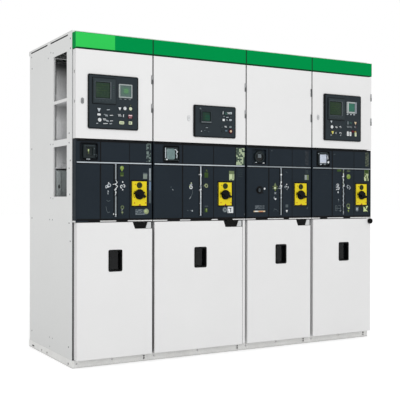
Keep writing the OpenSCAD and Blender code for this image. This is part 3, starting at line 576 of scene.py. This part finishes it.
# --- prints on the mechanism covers
# Each: kind, then place and size in mm from the cubicle's left edge and the cover's foot
COVER_PRINTS = {1: [
    ("hoop", 222, 214, 9, 5, "pale"), ("arc", 207, 205, 8, 60, 260, 5, "pale"),
    ("dot", 213, 204, 5, "white"), ("line", 199, 196, 208, 200, 4, "pale"),
    ("line", 215, 226, 221, 232, 4, "white"), ("line", 213, 182, 217, 172, 5, "pale"),
    ("line", 212, 170, 215, 158, 6, "grey"), ("line", 205, 122, 216, 114, 3.5, "dim"),
    ("line", 216, 114, 228, 121, 3.5, "dim"), ("line", 201, 84, 205, 60, 3, "dim"),
    ("line", 205, 60, 214, 44, 3, "dim"), ("line", 214, 44, 226, 50, 3, "dim"),
    ("dot", 252, 37, 4.5, "white"), ("line", 252, 37, 259, 32, 3, "pale"), ("dot", 307, 322, 12.5, "ygreen"),
    ("arrow", 307, 309, "ygreen", 1.2, False), ("dot", 304, 326, 5, "sage"),
    ("block", 307, 282, 24, 25, "dgreen"), ("block", 307, 274, 17, 8, "olive"),
    ("arc", 306, 206, 9, 80, 280, 5, "white"), ("arc", 318, 210, 9, -70, 100, 5, "white"),
    ("line", 310, 216, 315, 204, 4, "pale"), ("dot", 312, 235, 4.5, "white"), ("dot", 312, 187, 4, "white"),
    ("hoop", 310, 78, 9, 5, "moss"), ("line", 304, 60, 313, 66, 4, "grey"),
    ("line", 309, 58, 309, 36, 5, "moss"), ("line", 303, 48, 316, 47, 4, "sage"),
    ("line", 72, 371, 97, 371, 4, "pale"), ("line", 134, 402, 142, 394, 3, "dim"),
    ("line", 142, 394, 138, 386, 3, "faint")
], 2: [
    ("hoop", 275, 206, 9, 5.5, "white"), ("dot", 275, 206, 3, "dim"),
    ("line", 266, 221, 284, 224, 5, "pale"), ("dot", 277, 233, 4, "lgreen"),
    ("dot", 266, 212, 4.5, "pgreen"), ("path", [(287, 192), (286, 168), (278, 150)], 3, "dim"),
    ("line", 276, 146, 264, 131, 4, "grey"), ("line", 247, 57, 256, 54, 4, "dim"),
    ("dot", 285, 53, 4.5, "pale"), ("line", 268, 57, 274, 55, 4, "dim"),
    ("line", 126, 204, 133, 208, 4, "dim"), ("line", 138, 193, 146, 186, 4.5, "grey"),
    ("arrow", 392, 317, "dgreen", 1.2), ("line", 388, 322, 397, 310, 4, "olive"),
    ("block", 390, 287, 28, 34, "dgreen"), ("hoop", 391, 216, 9, 6, "sage"),
    ("line", 372, 214, 386, 230, 5, "sage"), ("line", 386, 230, 398, 228, 5, "moss"),
    ("dot", 391, 216, 2.5, "night"), ("block", 389, 57, 22, 28, "dgreen"), ("arrow", 391, 62, "sage", 0.8),
    ("line", 391, 60, 391, 47, 4, "ygreen"), ("line", 378, 83, 404, 83, 4, "dim"),
    ("dashes", 655, 304, 34, 56, 4, "shade", 4), ("line", 686, 24, 690, 34, 4, "grey")
], 3: [
    ("dot", 151, 201, 7, "white"), ("hoop", 112, 192, 24, 7, "night"),
    ("block", 112, 192, 24, 34, "dim", 10), ("block", 112, 192, 34, 6, "shade", 3),
    ("line", 128, 178, 142, 168, 8, "night"), ("arrow", 239, 213, "olive", 2.6),
    ("arrow", 239, 229, "moss", 1.6), ("line", 217, 216, 260, 216, 6, "olive"),
    ("line", 219, 199, 230, 208, 5, "moss"), ("line", 259, 199, 248, 208, 5, "moss"),
    ("dot", 238, 206, 8, "lgreen"), ("line", 239, 200, 239, 186, 5, "ygreen"),
    ("cross", 240, 171, "grey", 0.8, 4), ("arc", 240, 140, 10, 150, 330, 4, "pale"),
    ("dot", 242, 130, 6, "white"), ("line", 230, 136, 238, 128, 4, "pale"),
    ("line", 230, 62, 252, 56, 3, "dim"), ("line", 252, 56, 264, 44, 3, "faint"),
    ("line", 229, 44, 229, 58, 3, "faint"), ("arc", 328, 214, 7, 70, 250, 4, "pale"),
    ("line", 333, 222, 339, 212, 4, "white"), ("arc", 344, 212, 7, -90, 80, 4, "pale"),
    ("dot", 336, 232, 4, "white"), ("dot", 339, 197, 3.5, "grey"), ("block", 338, 82, 22, 20, "dim"),
    ("dot", 334, 49, 4.5, "white"), ("dot", 341, 50, 4, "white"), ("arrow", 338, 43, "white", 0.8, False),
    ("line", 328, 322, 342, 312, 4, "faint"), ("line", 512, 60, 518, 72, 4, "dim"),
    ("dot", 211, 463, 4, "dim")
], 4: [
    ("path", [(222, 236), (236, 240), (246, 231), (230, 224)], 4, "white"),
    ("path", [(218, 214), (238, 220), (250, 212), (244, 199), (230, 203), (220, 196)], 4, "white"),
    ("line", 230, 232, 240, 202, 4, "pale"), ("line", 216, 224, 224, 228, 4, "grey"),
    ("dot", 238, 180, 5.5, "white"), ("line", 238, 188, 238, 172, 4, "pale"),
    ("arrow", 242, 126, "grey", 0.7), ("line", 242, 122, 243, 108, 3, "dim"),
    ("block", 248, 341, 40, 24, "dgreen"), ("line", 236, 348, 262, 338, 4, "olive"),
    ("dot", 335, 294, 18, "ygreen"), ("arc", 335, 294, 11, 60, 200, 4, "sage"),
    ("line", 320, 335, 350, 334, 5, "moss"), ("line", 322, 346, 346, 346, 4, "dim"),
    ("line", 330, 326, 330, 350, 4, "olive"), ("arc", 330, 222, 9, 90, 270, 4.5, "pale"),
    ("line", 332, 232, 344, 224, 4, "grey"), ("arc", 342, 212, 9, -110, 80, 4.5, "pale"),
    ("line", 322, 206, 336, 214, 4, "grey"), ("hoop", 332, 81, 13, 6, "moss"),
    ("line", 324, 66, 348, 64, 6, "ygreen"), ("line", 345, 96, 345, 56, 6, "olive"),
    ("dot", 338, 62, 5, "lgreen"), ("arrow", 334, 44, "ygreen", 1.1, False),
    ("block", 416, 58, 28, 30, "dim"), ("cross", 416, 58, "pale", 0.9, 4),
    ("line", 410, 44, 424, 44, 4, "grey"),
    ("path", [(214, 82), (214, 46), (228, 46), (228, 82), (214, 82)], 3.5, "dim"),
    ("line", 214, 64, 262, 62, 4, "dim"), ("path", [(238, 82), (262, 82), (262, 46), (244, 46)], 3.5, "dim"),
    ("line", 256, 40, 266, 50, 4, "grey"), ("line", 196, 450, 210, 456, 4, "dim"),
    ("dashes", 110, 308, 60, 6, 1, "shade", 6)
]}
# Upright mimic lines: middle, ink, zigzag of the switch
MIMIC = {
    1: (265.5, "grey", [(265, 246), (276, 232), (262, 220), (278, 208), (265, 194), (258, 186), (268, 172),
        (262, 152)]),
    2: (348, "pale", [(348, 300), (352, 284), (346, 262), (350, 240), (347, 214), (350, 196), (345, 180),
        (350, 158)]),
    3: (289.5, "grey", [(290, 250), (284, 228), (296, 222), (284, 206), (290, 196), (290, 172)]),
    4: (286.5, "moss", [(286, 312), (292, 298), (280, 284), (290, 270), (282, 252), (296, 232), (282, 214),
        (290, 200), (284, 184), (293, 168), (282, 152), (291, 136), (283, 120), (291, 104), (283, 88),
        (290, 72)]),
}
# Where the switch breaks them, from and to above the cover's foot
BREAKS = {1: (146, 250), 2: (180, 222), 3: (190, 238), 4: (200, 226)}
# Knots and side strokes along them: height above the cover's foot, radius, ink, way of the stroke
KNOTS = {
    1: [(222, 3.5, "white", -20), (190, 4.5, "white", -9), (170, 4.5, "white", 0), (34, 4, "white", 0)],
    2: [(291, 6, "white", -16), (212, 7, "steel", -8), (191, 6, "white", -13), (144, 4.5, "white", 0),
        (104, 5, "pale", -9)],
    3: [(299, 7, "white", 0), (247, 6, "white", 0), (222, 6.5, "white", -14), (207, 5, "pale", -22),
        (168, 5, "pale", 0), (140, 5, "pale", 0), (114, 5, "grey", 0)],
    4: [(312, 5, "white", 0), (296, 6, "white", -14), (270, 5, "white", 0), (226, 5, "white", 10),
        (150, 4, "pale", 0), (36, 4.5, "pale", 0)],
}
# Seams between the moulded fields: place, width of their dark line
SEAMS = {1: [(164, 8), (358, 3)], 2: [(213, 8), (445, 5), (616, 2)], 3: [(186, 8), (383, 3)],
         4: [(184, 8), (386, 2.5)]}
LINE_FOOT, LINE_TOP, LEVEL = 24, 340, 351.5


def on_cover(p, k, y=field, thick=0.25):
    return Print(p, left[k - 1], foot, y, thick)


for k in CUBICLES:
    p = Piece(f"cover_print_{k}")
    d = on_cover(p, k)
    for kind, *args in COVER_PRINTS[k]:
        getattr(d, kind)(*args)
    end = (right[k - 1] - left[k - 1]) / MM
    x, ink, zigzag = MIMIC[k]
    low, high = BREAKS[k]
    # Black lines in the grooves beside the upright line and along the seams: painted shade in the grooves
    d.line(x - 9.5, LINE_FOOT - 2, x - 9.5, LINE_TOP, 4.5, "night")
    d.line(x + 8.5, LINE_FOOT - 2, x + 8.5, LINE_TOP, 3, "night")
    for seam, w in SEAMS[k]:
        d.line(seam, 10, seam, 480, w, "black")
    # Dark lines along the foot and the top: painted shade at the cover's edges
    d = on_cover(p, k, front)
    for z, w in ((3.5, 9), (483.5, 10)):
        d.line(10, z, end - 10, z, w, "black")
    # Shadow line under the level mimic line, deep in its channel
    on_cover(p, k, front + 3.3 * MM, 0.1).line(13, 343, end - 13, 343, 5, "black")
    # Bright cores of the mimic lines with dark lines of painted shade along both their sides, and the switch
    # that breaks the upright one
    d = on_cover(p, k, field - 0.5 * MM, 0.15)
    for z in (LEVEL - 5.2, LEVEL + 5.2):
        d.line(13, z, end - 13, z, 2.2, "night")
    d.line(14, LEVEL, end - 14, LEVEL, 6, "pale" if k < 3 else "grey")
    for dx in (-5.4, 5.4):
        d.line(x + dx, LINE_FOOT, x + dx, LINE_TOP, 2.4, "night")
    d.line(x, LINE_FOOT, x, low, 7, ink if k < 4 else "dim")
    d.line(x, high, x, LINE_TOP, 7, ink)
    d.block(x, (low + high) / 2, 13, high - low, "cover")
    d = on_cover(p, k, field - 0.75 * MM)
    d.path(zigzag, 4, "white" if k < 4 else "pale")
    for z, r, tone, way in KNOTS[k]:
        d.dot(x, z, r, tone, 12)
        if way:
            d.line(x, z, x + way, z - 3, 3.5, tone)
    p.build("cubicles")

# --- label films: place, width, height, material, how far they lie over another one, corner radius
OVER = 0.2
FILMS = {
    1: [(490, 421, 30, 116, "tag_1"), (499.5, 214, 14, 220, "ink_dim"),
        (499.5, 285, 12, 76, "ink_grey", OVER), (499.5, 211, 12, 52, "ink_blue", OVER),
        (436, 48, 78, 34, "tag_foot_1"), (466, 275, 28, 38, "tag_over_1"),
        (466, 290, 28, 8, "ink_dim", OVER)],
    2: [(654, 415, 66, 116, "tag_2"), (585, 286, 40, 64, "ink_moss"), (586, 276, 38, 40, "tag_over_2", OVER),
        (576, 58, 44, 42, "ink_white"), (572, 68, 24, 5, "ink_night", OVER, 0.5),
        (578, 56, 7, 24, "ink_dim", OVER, 0.5), (560, 46, 6, 14, "ink_grey", OVER, 0.5)],
    3: [(111, 74, 76, 26, "tag_foot_3"), (109, 46, 94, 9, "ink_cream"), (84, 47, 22, 7, "ink_white", OVER),
        (122, 44, 34, 5, "ink_orange", OVER), (509, 283, 36, 36, "ink_moss"),
        (501, 283, 17, 32, "ink_grey", OVER), (510, 322, 26, 26, "ink_shade"), (510, 420, 30, 100, "tag_3")],
    4: [(511, 423, 32, 104, "tag_4"), (506, 310, 40, 88, "ink_moss"), (506, 334, 34, 22, "ink_dgreen", OVER),
        (504, 290, 42, 50, "tag_over_4", OVER), (498, 60, 42, 46, "tag_foot_4")],
}


def film(d, x, z, w, h, mat, over=0.0, r=1.0):
    d.slab(x, z, w, h, r, -0.3 - over, 0.05 - over, mat, 0.1)


p = Piece("label_films")
for k in CUBICLES:
    for spot in FILMS[k]:
        film(on_cover(p, k), *spot)
d = on_cover(p, 1)
d.disc(474, 52, 17, -0.5, 0, "ink_sage", 0.1)
d.disc(470, 54, 8, -0.7, 0, "ink_pgreen", 0.1)
d = on_cover(p, 2)
d.disc(533, 59, 19, -0.4, 0, "ink_dim", 0.1)
p.ring(*d.at(533, 59), 9 * MM, 13 * MM, field - 0.6 * MM, field, "ink_grey")
p.build("cubicles", ["labels"])

# --- indicator windows
POCKET_X = {1: 90, 2: 130, 3: 108, 4: 100}
_, pocket_z, _ = centre("indicators")
lens_y = centre("indicator_lenses")[2]
p = Piece("indicator_faces")


def on_pocket(k, y):
    return Print(p, left[k - 1] + POCKET_X[k] * MM, pocket_z, y)


for k, x, w, h, r, mat in ((1, 0, 44, 52, 3, "lens_dark"), (2, -8, 70, 72, 14, "lens_grey"),
                           (4, 0, 62, 64, 3, "lens_lilac")):
    on_pocket(k, lens_y).slab(x, 0, w, h, r, 0, 2, mat, 0.6)
on_pocket(3, lens_y).disc(0, 0, 31, 0, 2, "lens_black", 0.6, 40)
# Raised bars on both sides of the wide housings
for k, w, h, bar in ((2, 96, 86, 12), (4, 90, 88, 13)):
    for way in (-1, 1):
        on_pocket(k, front).slab(way * (w - bar) / 2, 0, bar - 1, h - 2, 2, -3.3, -2.9, "housing", 0.1)
# Marks on each lens, on its housing and on the housing's rim, and a dark outline of the pocket
for k in CUBICLES:
    lens, housing, rim = (on_pocket(k, y) for y in (lens_y, front - 3 * MM, front - 3.3 * MM))
    if k == 1:
        lens.line(-4, 14, -4, 0, 8, "pgreen")
        lens.line(-3, -2, -3, -14, 6, "olive")
        housing.line(-30, 36, 32, 36, 2, "faint")
        housing.dot(33, 17, 3, "dim")
        housing.dot(33, -19, 3, "dim")
    if k == 2:
        lens.arc(-8, 0, 30, 100, 250, 2.5, "grey")
        rim.block(-43, 6, 6, 66, "pale")
        rim.block(-34, -36, 12, 7, "white")
        rim.path([(22, 30), (34, 26), (41, 14), (34, 4), (40, -8), (37, -26)], 6, "pale")
        rim.dot(41, 14, 4.5, "white", 12)
        housing.line(-52, -36, -44, -40, 3, "dim")
        housing.line(44, -38, 54, -44, 3, "dim")
    if k == 3:
        lens.block(0, 6, 28, 26, "dim")
        housing.dashes(-1, 5, 26, 22, 3, "grey", 2)
        lens.arc(0, 2, 27, 30, 150, 2.5, "faint")
        housing.line(-36, -40, -24, -38, 4, "pale")
        housing.line(-48, -44, -42, -44, 3, "dim")
        housing.line(24, -42, 38, -42, 5, "white")
    if k == 4:
        lens.line(-20, 16, 14, 18, 3, "pale")
        lens.line(-22, -4, 18, -2, 3, "pale")
        lens.line(-24, -26, 20, -28, 4, "white")
        rim.block(-42, 36, 6, 6, "pale")
        rim.block(38, 12, 9, 34, "steel")
        rim.line(38, 20, 42, 0, 4, "white")
        rim.dot(44, -24, 8, "white")
        housing.line(-28, 43, 34, 43, 3, "dim")
        housing.line(-30, -42, -16, -40, 6, "pale")
        housing.line(4, -41, 22, -41, 4, "grey")
    if k != 3:
        on_pocket(k, front - 1 * MM).frame(56.5, 52.5, 54, 50, 4, "black")
d = Print(p, *centre("key_lock"))
d.block(-1, 1, 15, 22, "dim", 6)
d.block(-1, 1, 8, 13, "shade", 3)
on_cover(p, 4).dot(156, 399, 5, "white")
p.build("cubicles", ["indicator_lenses"])

# --- signs on the yellow plates, and a black margin of painted shade round each of them
PLATE_X = {1: 425, 2: 534, 3: 456, 4: 455}
p = Piece("plate_signs")
for k in CUBICLES:
    x = left[k - 1] + PLATE_X[k] * MM
    # Black margin round the plate: painted shade on the cover
    Print(p, x, plate_z, field, 0.4).block(0, 0, 118, 170, "night", 4)
    Print(p, x, plate_z, plate_front, 0.15).frame(51.9, 77.9, 50.5, 79.9, 4, "black")
    d = Print(p, centre(f"selector_{k}")[0], plate_z - 5 * MM, plate_front, 0.2)
    for a0, a1 in ((150, 215), (-40, 25)):
        d.arc(0, 0, 40, a0, a1, 3, "black")
    d.dot(-36, 6, 5, "black", 14)
    d.arrow(36, 12, "black", 0.7)
    for *spot, ink in ((-28, 62, 3.5, "red"), (-33, -54, 4, "rust"), (3, -66, 5, "red"),
                       (44, -54, 4, "rust")):
        d.dot(*spot, ink, 12)
    d.line(-12, -70, 12, -70, 1.5, "rust")
p.build("cubicles")

# --- control panels on the doors
# Keys and lamps: x, z in mm from the panel's middle, radius, shape, colour, colour of the sign on it
KEYS = {1: [
    (-96, -49, 15, "down", "pale"), (-35, -47, 11, "dash", "pale"), (-96, -79, 10, "flat", "white"),
    (-60, -76, 6, "dash", "grey"), (-48, -82, 10, "hatch", "pale"), (-15, -80, 12, "dash", "white"),
    (-92, -111, 12, "round", "white", "grey"), (-60, -107, 11, "hatch", "white"),
    (-41, -115, 9, "hatch", "pale"), (-15, -114, 11, "dash", "white"), (-108, -133, 7, "dash", "pale"),
    (-54, -132, 16, "dash", "white"), (-19, -132, 10, "dash", "pale"), (42, -35, 12, "down", "white"),
    (76, -33, 11, "round", "white", "grey"), (114, -33, 11, "round", "lgreen", "white"),
    (114, -12, 4, "dash", "olive"), (40, -77, 12, "hatch", "white"), (66, -78, 11, "bar", "white"),
    (112, -82, 14, "red", "maroon", "pink"), (54, -122, 15, "flat", "lgreen", "olive"),
    (113, -121, 12, "box", "lgreen", "dim")
], 2: [
    (62, 62, 12, "bar", "white"), (84, 58, 12, "hatch", "teal"), (104, 62, 11, "hatch", "white"),
    (121, 63, 9, "box", "pale", "teal"), (69, 38, 7, "dash", "grey"), (95, 34, 10, "dash", "pale"),
    (121, 38, 8, "dash", "dim"), (66, 15, 9, "box", "white"), (92, 16, 7, "hatch", "grey"),
    (119, 17, 9, "flat", "pale", "grey"), (54, -33, 7, "dash", "dim"), (82, -29, 9, "hatch", "white"),
    (119, -29, 8, "box", "grey", "teal"), (60, -60, 7, "flat", "shade"), (86, -56, 8, "flat", "slate"),
    (121, -58, 14, "lamp", "maroon", "cream"), (-63, -42, 9, "dash", "grey"),
    (-103, -66, 4, "round", "pale"), (-78, -60, 6, "dash", "dim"), (-50, -68, 6, "dash", "dim"),
    (-111, 80, 7, "hook", "grey")
], 4: [
    (-104, -31, 11, "down", "pale"), (-99, -69, 12, "round", "white"), (-58, -69, 10, "hatch", "white"),
    (-22, -67, 10, "hook", "white"), (-93, -108, 15, "down", "yellow", "white"),
    (-62, -112, 9, "bar", "white"), (-22, -112, 12, "hook", "white"), (-106, -128, 7, "dash", "pale"),
    (-20, -128, 6, "dash", "pale"), (48, -34, 9, "tall", "dim", "grey"), (74, -32, 12, "hatch", "teal"),
    (119, -31, 14, "down", "cream", "orange"), (49, -62, 11, "hatch", "grey"),
    (74, -62, 12, "hatch", "grey"), (118, -60, 12, "hatch", "grey", "maroon"),
    (94, -94, 10, "flat", "maroon"), (118, -96, 9, "flat", "maroon", "yellow"),
    (48, -112, 10, "tall", "white", "dim"), (72, -113, 9.5, "tall", "white", "grey"),
    (121, -114, 9.5, "tall", "lgreen", "olive")
]}


def key_cap(d, x, z, r, shape, colour, mark=None):
    """One soft key or lamp on the face d: a dark skirt, a cap and its sign, or a bare sign."""
    ink = "ink_" + colour
    sign = Print(d.p, *d.at(x, z), d.y - 3.2 * MM, 0.3)
    if shape in ("round", "lamp"):
        d.disc(x, z, r + 1.5, -2, 0, "ink_black", 0.3, 24)
        d.disc(x, z, r - 0.5, -3.2, 0, ink, 0.8, 24, 2.2 if shape == "lamp" else 0.0)
        if shape == "lamp":
            d.disc(x, z, r * 0.55, -5.7, -4, "ink_" + mark, 0.3, 16)
        elif mark:
            sign.arc(0, 0, r * 0.5, 20, 250, 1.6, mark)
    elif shape in ("flat", "tall"):
        w, h = (2.2 * r, 1.3 * r) if shape == "flat" else (1.8 * r, 3.2 * r)
        d.slab(x, z, w + 2, h + 2, r * 0.4, -2, 0, "ink_black", 0.3)
        d.slab(x, z, w, h, r * 0.4, -3.2, 0, ink, 0.8)
        if mark:
            for way in (-1, 1):
                sign.line(-w * 0.35, way * h * 0.15, w * 0.35, way * h * 0.15, 2, mark)
    elif shape in ("box", "red"):
        d.slab(x, z, 2 * r + 2, 1.7 * r + 2, 2, -2, 0, "ink_black", 0.3)
        d.slab(x, z, 2 * r - 1, 1.7 * r - 1, 1.5, -3.2, 0, ink, 0.6)
        if shape == "red":
            sign.line(-r * 0.85, r * 0.5, r * 0.85, r * 0.5, 8, mark)
            sign.line(-r * 0.7, -r * 0.5, r * 0.7, -r * 0.5, 2, mark)
        elif mark:
            sign.block(-r * 0.2, 0, r * 0.8, r * 0.7, mark)
    else:
        d.slab(x, z, 2 * r + 2, 1.5 * r + 2, 2, -2, 0, "panel_plastic")
        sign = Print(d.p, *d.at(x, z), d.y - 2 * MM, 0.3)
        if shape == "down":
            sign.arrow(0, 0, colour, r / 9, False)
            if mark:
                sign.dot(r * 0.4, -r * 0.3, 3, mark, 10)
        elif shape == "dash":
            sign.line(-r * 0.9, -1, r * 0.9, 1, 3.5, colour)
        elif shape == "bar":
            sign.line(-1, -r * 0.8, 1, r * 0.8, 4, colour)
        elif shape == "hook":
            sign.arc(0, 0, r * 0.6, -20, 200, 3, colour)
            sign.line(r * 0.5, 0, r * 0.5, -r * 0.7, 3, colour)
        elif shape == "hatch":
            for s, tone in ((-0.6, colour), (0.0, colour), (0.6, mark or colour)):
                sign.line((s - 0.25) * r, r * 0.6, (s + 0.3) * r, -r * 0.6, 2.6, tone)


def panel_face(p, k, name=None):
    """Print on the face that a control panel's parts stand on, centred on the panel or on a node of it."""
    x, z, _ = centre(name or f"control_panel_{k}")
    return Print(p, x, z, centre(f"control_panel_{k}")[2] + 1 * MM, 0.3)


def left_edge_shade(p, k, w):
    """Black strip along a control panel's left edge: painted shade along that edge."""
    high = width_height(f"control_panel_{k}")[1]
    (x, y, z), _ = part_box(f"control_panel_{k}")
    Print(p, x, z, y).slab(3 + w / 2, high / 2, w, high - 10, 2, 0.6, 1.1, "ink_black", 0.2)


def text_rows(face, x, z, pitch, runs, w, ink):
    """Faint rows that stand for the text of a screen."""
    d = Print(face.p, face.x0, face.z0, face.y + 2.9 * MM, 0.1)
    for row, run in enumerate(runs):
        d.line(x, z - pitch * row, x + run, z - pitch * row, w, ink)


for k in KEYS:
    p = Piece(f"panel_keys_{k}")
    x, z, y = centre(f"control_panel_{k}")
    w, h = width_height(f"control_panel_{k}")
    # Dark band along the panel's edge: inset and height of its rings
    p.loft([at_depth(oval(x, z, (w - 2 * t) * MM, (h - 2 * t) * MM, (12 - t) * MM), y + up * MM)
            for t, up in ((0.6, 0.1), (0.6, -0.2), (5.5, -0.2), (5.5, 0.1))], "ink_black", False)
    for spot in KEYS[k]:
        key_cap(panel_face(p, k), *spot)
    p.build(f"door_{k}", [f"buttons_{k}"])

for k, mat, wide, step in ((1, "lcd_olive", 97, 5), (4, "lcd_olive2", 111, 14)):
    p = Piece(f"relay_face_{k}")
    left_edge_shade(p, k, step)
    name = f"relay_{k}"
    x, z, y = centre(name)
    w, h = width_height(name)
    panel_face(p, k, name).slab(0, 0, w + 9, h + 9, 5, -0.3, 0.1, "ink_night", 0.1)
    # Window with its thin pale outline, keys under it and lamps beside it
    d = Print(p, x - 11 * MM, z + 4 * MM, y, 0.1)
    d.slab(0, 0, wide, 97, 1, 3.2, 4.1, "ink_black", 0.2)
    d.slab(0, 0, wide - 6, 91, 1, 2.9, 3.6, mat, 0.2)
    text_rows(d, -36, 30, 16, (58, 40, 66, 30), 1.6, "dgreen")
    d.frame(wide / 2 + 3, 51.5, wide / 2 + 3, 51, 2, "dim", "grey")
    d = Print(p, x, z, y)
    for key_x in (-34, -12, 12, 34):
        d.slab(key_x, -60, 14, 8, 2, -1, 0.3, "relay_plastic", 0.6)
        Print(p, *d.at(key_x, -60), y - 1 * MM, 0.1).line(-3, 0, 3, 0, 1.6, "dim")
    for s in range(6):
        d.disc(60, 38 - 13 * s, 2.2, -0.8, 0.3, "ink_green" if s == 1 else "ink_dim", 0.4, 14)
    p.build(f"door_{k}")

for k, mat, w, h, dx, dz, key_h, key_ink in ((1, "lcd_meter", 80, 74, 0, 0, 3.5, "ink_grey"),
                                             (4, "lcd_teal", 64, 62, -4, 1, 7, "ink_pale")):
    p = Piece(f"meter_face_{k}")
    x, z, y = centre(f"meter_{k}")
    x, z = x + dx * MM, z + dz * MM
    d = Print(p, x, z, y)
    if k == 4:
        d.slab(41, 0, 15, 82, 3, -0.2, 1, "ink_steel", 0.2)
    d.slab(0, 0, w, h, 1, 3.3, 4.1, "ink_dim", 0.2)
    d.slab(0, 0, w - 4, h - 4, 1, 3, 3.6, mat, 0.2)
    if k == 1:
        d.slab(2, 1, 50, 44, 12, 2.9, 3.2, "lcd_mid", 0.1)
        d.slab(4, 1, 30, 26, 10, 2.8, 3.2, "lcd_green", 0.1)
    text_rows(d, -22, 18, 16, (34, 26, 38), 1.6, "green")
    feet = Print(p, x, z, panel_face(p, k).y)
    for foot_x in (-31, 0, 30):
        feet.slab(foot_x, -50, 14, key_h, 1.5, -2, 0, key_ink, 0.6)
    p.build(f"door_{k}")

p = Piece("controller_face")
left_edge_shade(p, 2, 11)
x, z, y = centre("controller_2")
z += 2 * MM
d = Print(p, x, z, y, 0.3)
d.slab(0, 0, 63, 63, 1, 3.3, 4.1, "ink_black", 0.2)
d.slab(0, 0, 57, 57, 1, 3, 3.6, "lcd_dark", 0.2)
d.slab(9, -7, 36, 40, 12, 2.9, 3.2, "lcd_deep", 0.1)
text_rows(d, -19, 15, 13, (30, 20, 34), 1.4, "dgreen")
d.line(-38, -37, 38, -35, 3, "grey")
d = Print(p, x, z, panel_face(p, 2).y, 0.3)
d.line(-45, -40, -45, 40, 1.6, "night")
d.line(40, -40, 40, 42, 3, "night")
p.build("door_2")


# --- screws, and dark strips of painted shade
def screw(p, at, axis, r, h, mat="screw"):
    """Pan-head screw with a cross recess; axis is the way its head faces."""
    at, axis = Vector(at), Vector(axis)
    u = axis.orthogonal().normalized()
    v = axis.cross(u)
    profile = ((1.25, 0), (1.25, 0.3), (1, 0.3), (1, h * 0.45), (0.92, h * 0.75), (0.7, h * 0.95), (0.35, h))
    p.loft([[at + (u * px + v * pz + axis * up) * MM for px, pz in circle(0, 0, r * share, 20)]
            for share, up in profile], mat)
    # The cross recess is a near-black cross on the head: painted shade
    for a in (u, v):
        b = axis.cross(a)
        corners = [at + (a * px * r * 0.55 + b * pz * r * 0.11) * MM
                   for px, pz in ((-1, -1), (1, -1), (1, 1), (-1, 1))]
        p.loft([[q + axis * (h + up) * MM for q in corners] for up in (-0.3, 0.06)], "hole")


# Places in mm behind the side sheet's front edge and above the floor
SIDE_SCREWS = [
    (50, 1430), (50, 1372), (30, 1262), (50, 1215), (38, 1055), (50, 880), (30, 770), (60, 120), (345, 1965),
    (390, 1975), (440, 1945), (790, 2005), (780, 1925), (345, 1378), (395, 1380), (345, 1030), (390, 1034),
    (355, 893), (410, 893), (355, 128), (410, 128), (405, 68), (785, 1370), (780, 895), (780, 117),
    (30, 1945), (30, 2005),
]
p = Piece("side_screws")
for x, way in ((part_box("walls_1")[0][0], -1), (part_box("walls_4")[1][0], 1)):
    for y, z in SIDE_SCREWS:
        mat = "screw" if 60 < y < 770 else "dark_screw"
        screw(p, (x, side_y0 + y * MM, z * MM), (way, 0, 0), 4.4, 0.85, mat)
p.build("cubicles")

# Painted shade: dark strips inside the row's two ends, seen through the plinth's holes and the slots under
# the roof
CORNER = 4
p = Piece("end_shade_strips")
a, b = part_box("plinths")
for x, way in ((a[0], 1), (b[0], -1)):
    for gap, y0, y1, z0, z1 in ((3.4, 20, 20, 14, 37), (2.4, 70, 20, 2018, 2044)):
        near, far = a[1] + y0 * MM, b[1] - y1 * MM
        cut = CORNER * MM
        ends = [(near + cut, z0), (near, z0 + CORNER), (near, z1 - CORNER), (near + cut, z1),
                (far - cut, z1), (far, z1 - CORNER), (far, z0 + CORNER), (far - cut, z0)]
        p.loft([[(x + way * (gap + t) * MM, y, z * MM) for y, z in ends] for t in (0, 1.2)], "hole")
p.build("cubicles")

p = Piece("rear_screws")
rear_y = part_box("rear_panels")[1][1]
for x0, x1 in zip(left, right):
    for x in (x0 + 14 * MM, x1 - 14 * MM):
        for z in (80, 420, 760, 1100, 1440, 1780, 2000):
            screw(p, (x, rear_y, z * MM), (0, 1, 0), 4.2, 1.8)
p.build("cubicles")

# --- stage and light: the floor and the world glow only for the camera and for panes and gloss
FLOOR_SIZE = 40
floor = bpy.data.meshes.new("floor")
floor.from_pydata([(x * FLOOR_SIZE, y * FLOOR_SIZE, 0) for x, y in ((-1, -1), (1, -1), (1, 1), (-1, 1))],
                  [], [(0, 1, 2, 3)])
floor_obj = bpy.data.objects.new("floor", floor)
scene.collection.objects.link(floor_obj)
nt, bsdf, _ = start("floor")
fill(nt, bsdf, Base_Color=(0.86, 0.86, 0.86, 1), Roughness=0.9, Specular_IOR_Level=0.2)
ray = node(nt, "ShaderNodeLightPath").outputs
seen = math_node(nt, "MAXIMUM", ray["Is Camera Ray"],
                 math_node(nt, "MAXIMUM", ray["Is Glossy Ray"], ray["Is Transmission Ray"]))
glow = node(nt, "ShaderNodeEmission", Color=(1, 1, 1, 1), Strength=times(nt, seen, 0.36))
add = node(nt, "ShaderNodeAddShader")
nt.links.new(bsdf.outputs[0], add.inputs[0])
nt.links.new(glow.outputs[0], add.inputs[1])
nt.links.new(add.outputs[0], nt.nodes["Material Output"].inputs["Surface"])
floor.materials.append(M["floor"])

world = scene.world = bpy.data.worlds.new("studio")
world.use_nodes = True
nt = world.node_tree
nt.nodes.clear()
ray = node(nt, "ShaderNodeLightPath").outputs
seen = math_node(nt, "MAXIMUM", ray["Is Camera Ray"], ray["Is Transmission Ray"])
mix = node(nt, "ShaderNodeMixShader", Fac=seen)
for index, strength in ((1, 0.78), (2, 1.0)):
    soft = node(nt, "ShaderNodeBackground", Color=(1, 1, 1, 1), Strength=strength)
    nt.links.new(soft.outputs[0], mix.inputs[index])
nt.links.new(mix.outputs[0], node(nt, "ShaderNodeOutputWorld").inputs["Surface"])

lamp = bpy.data.lights.new("key", "AREA")
lamp.shape = "SQUARE"
lamp.size = 4.0
lamp.energy = 106.0
key = bpy.data.objects.new("key", lamp)
key.location = (-1.3, -6.0, 4.6)
key.rotation_euler = (Vector((0, -0.2, 1.1)) - key.location).to_track_quat("-Z", "Y").to_euler()
scene.collection.objects.link(key)

scene.view_settings.view_transform = "Standard"
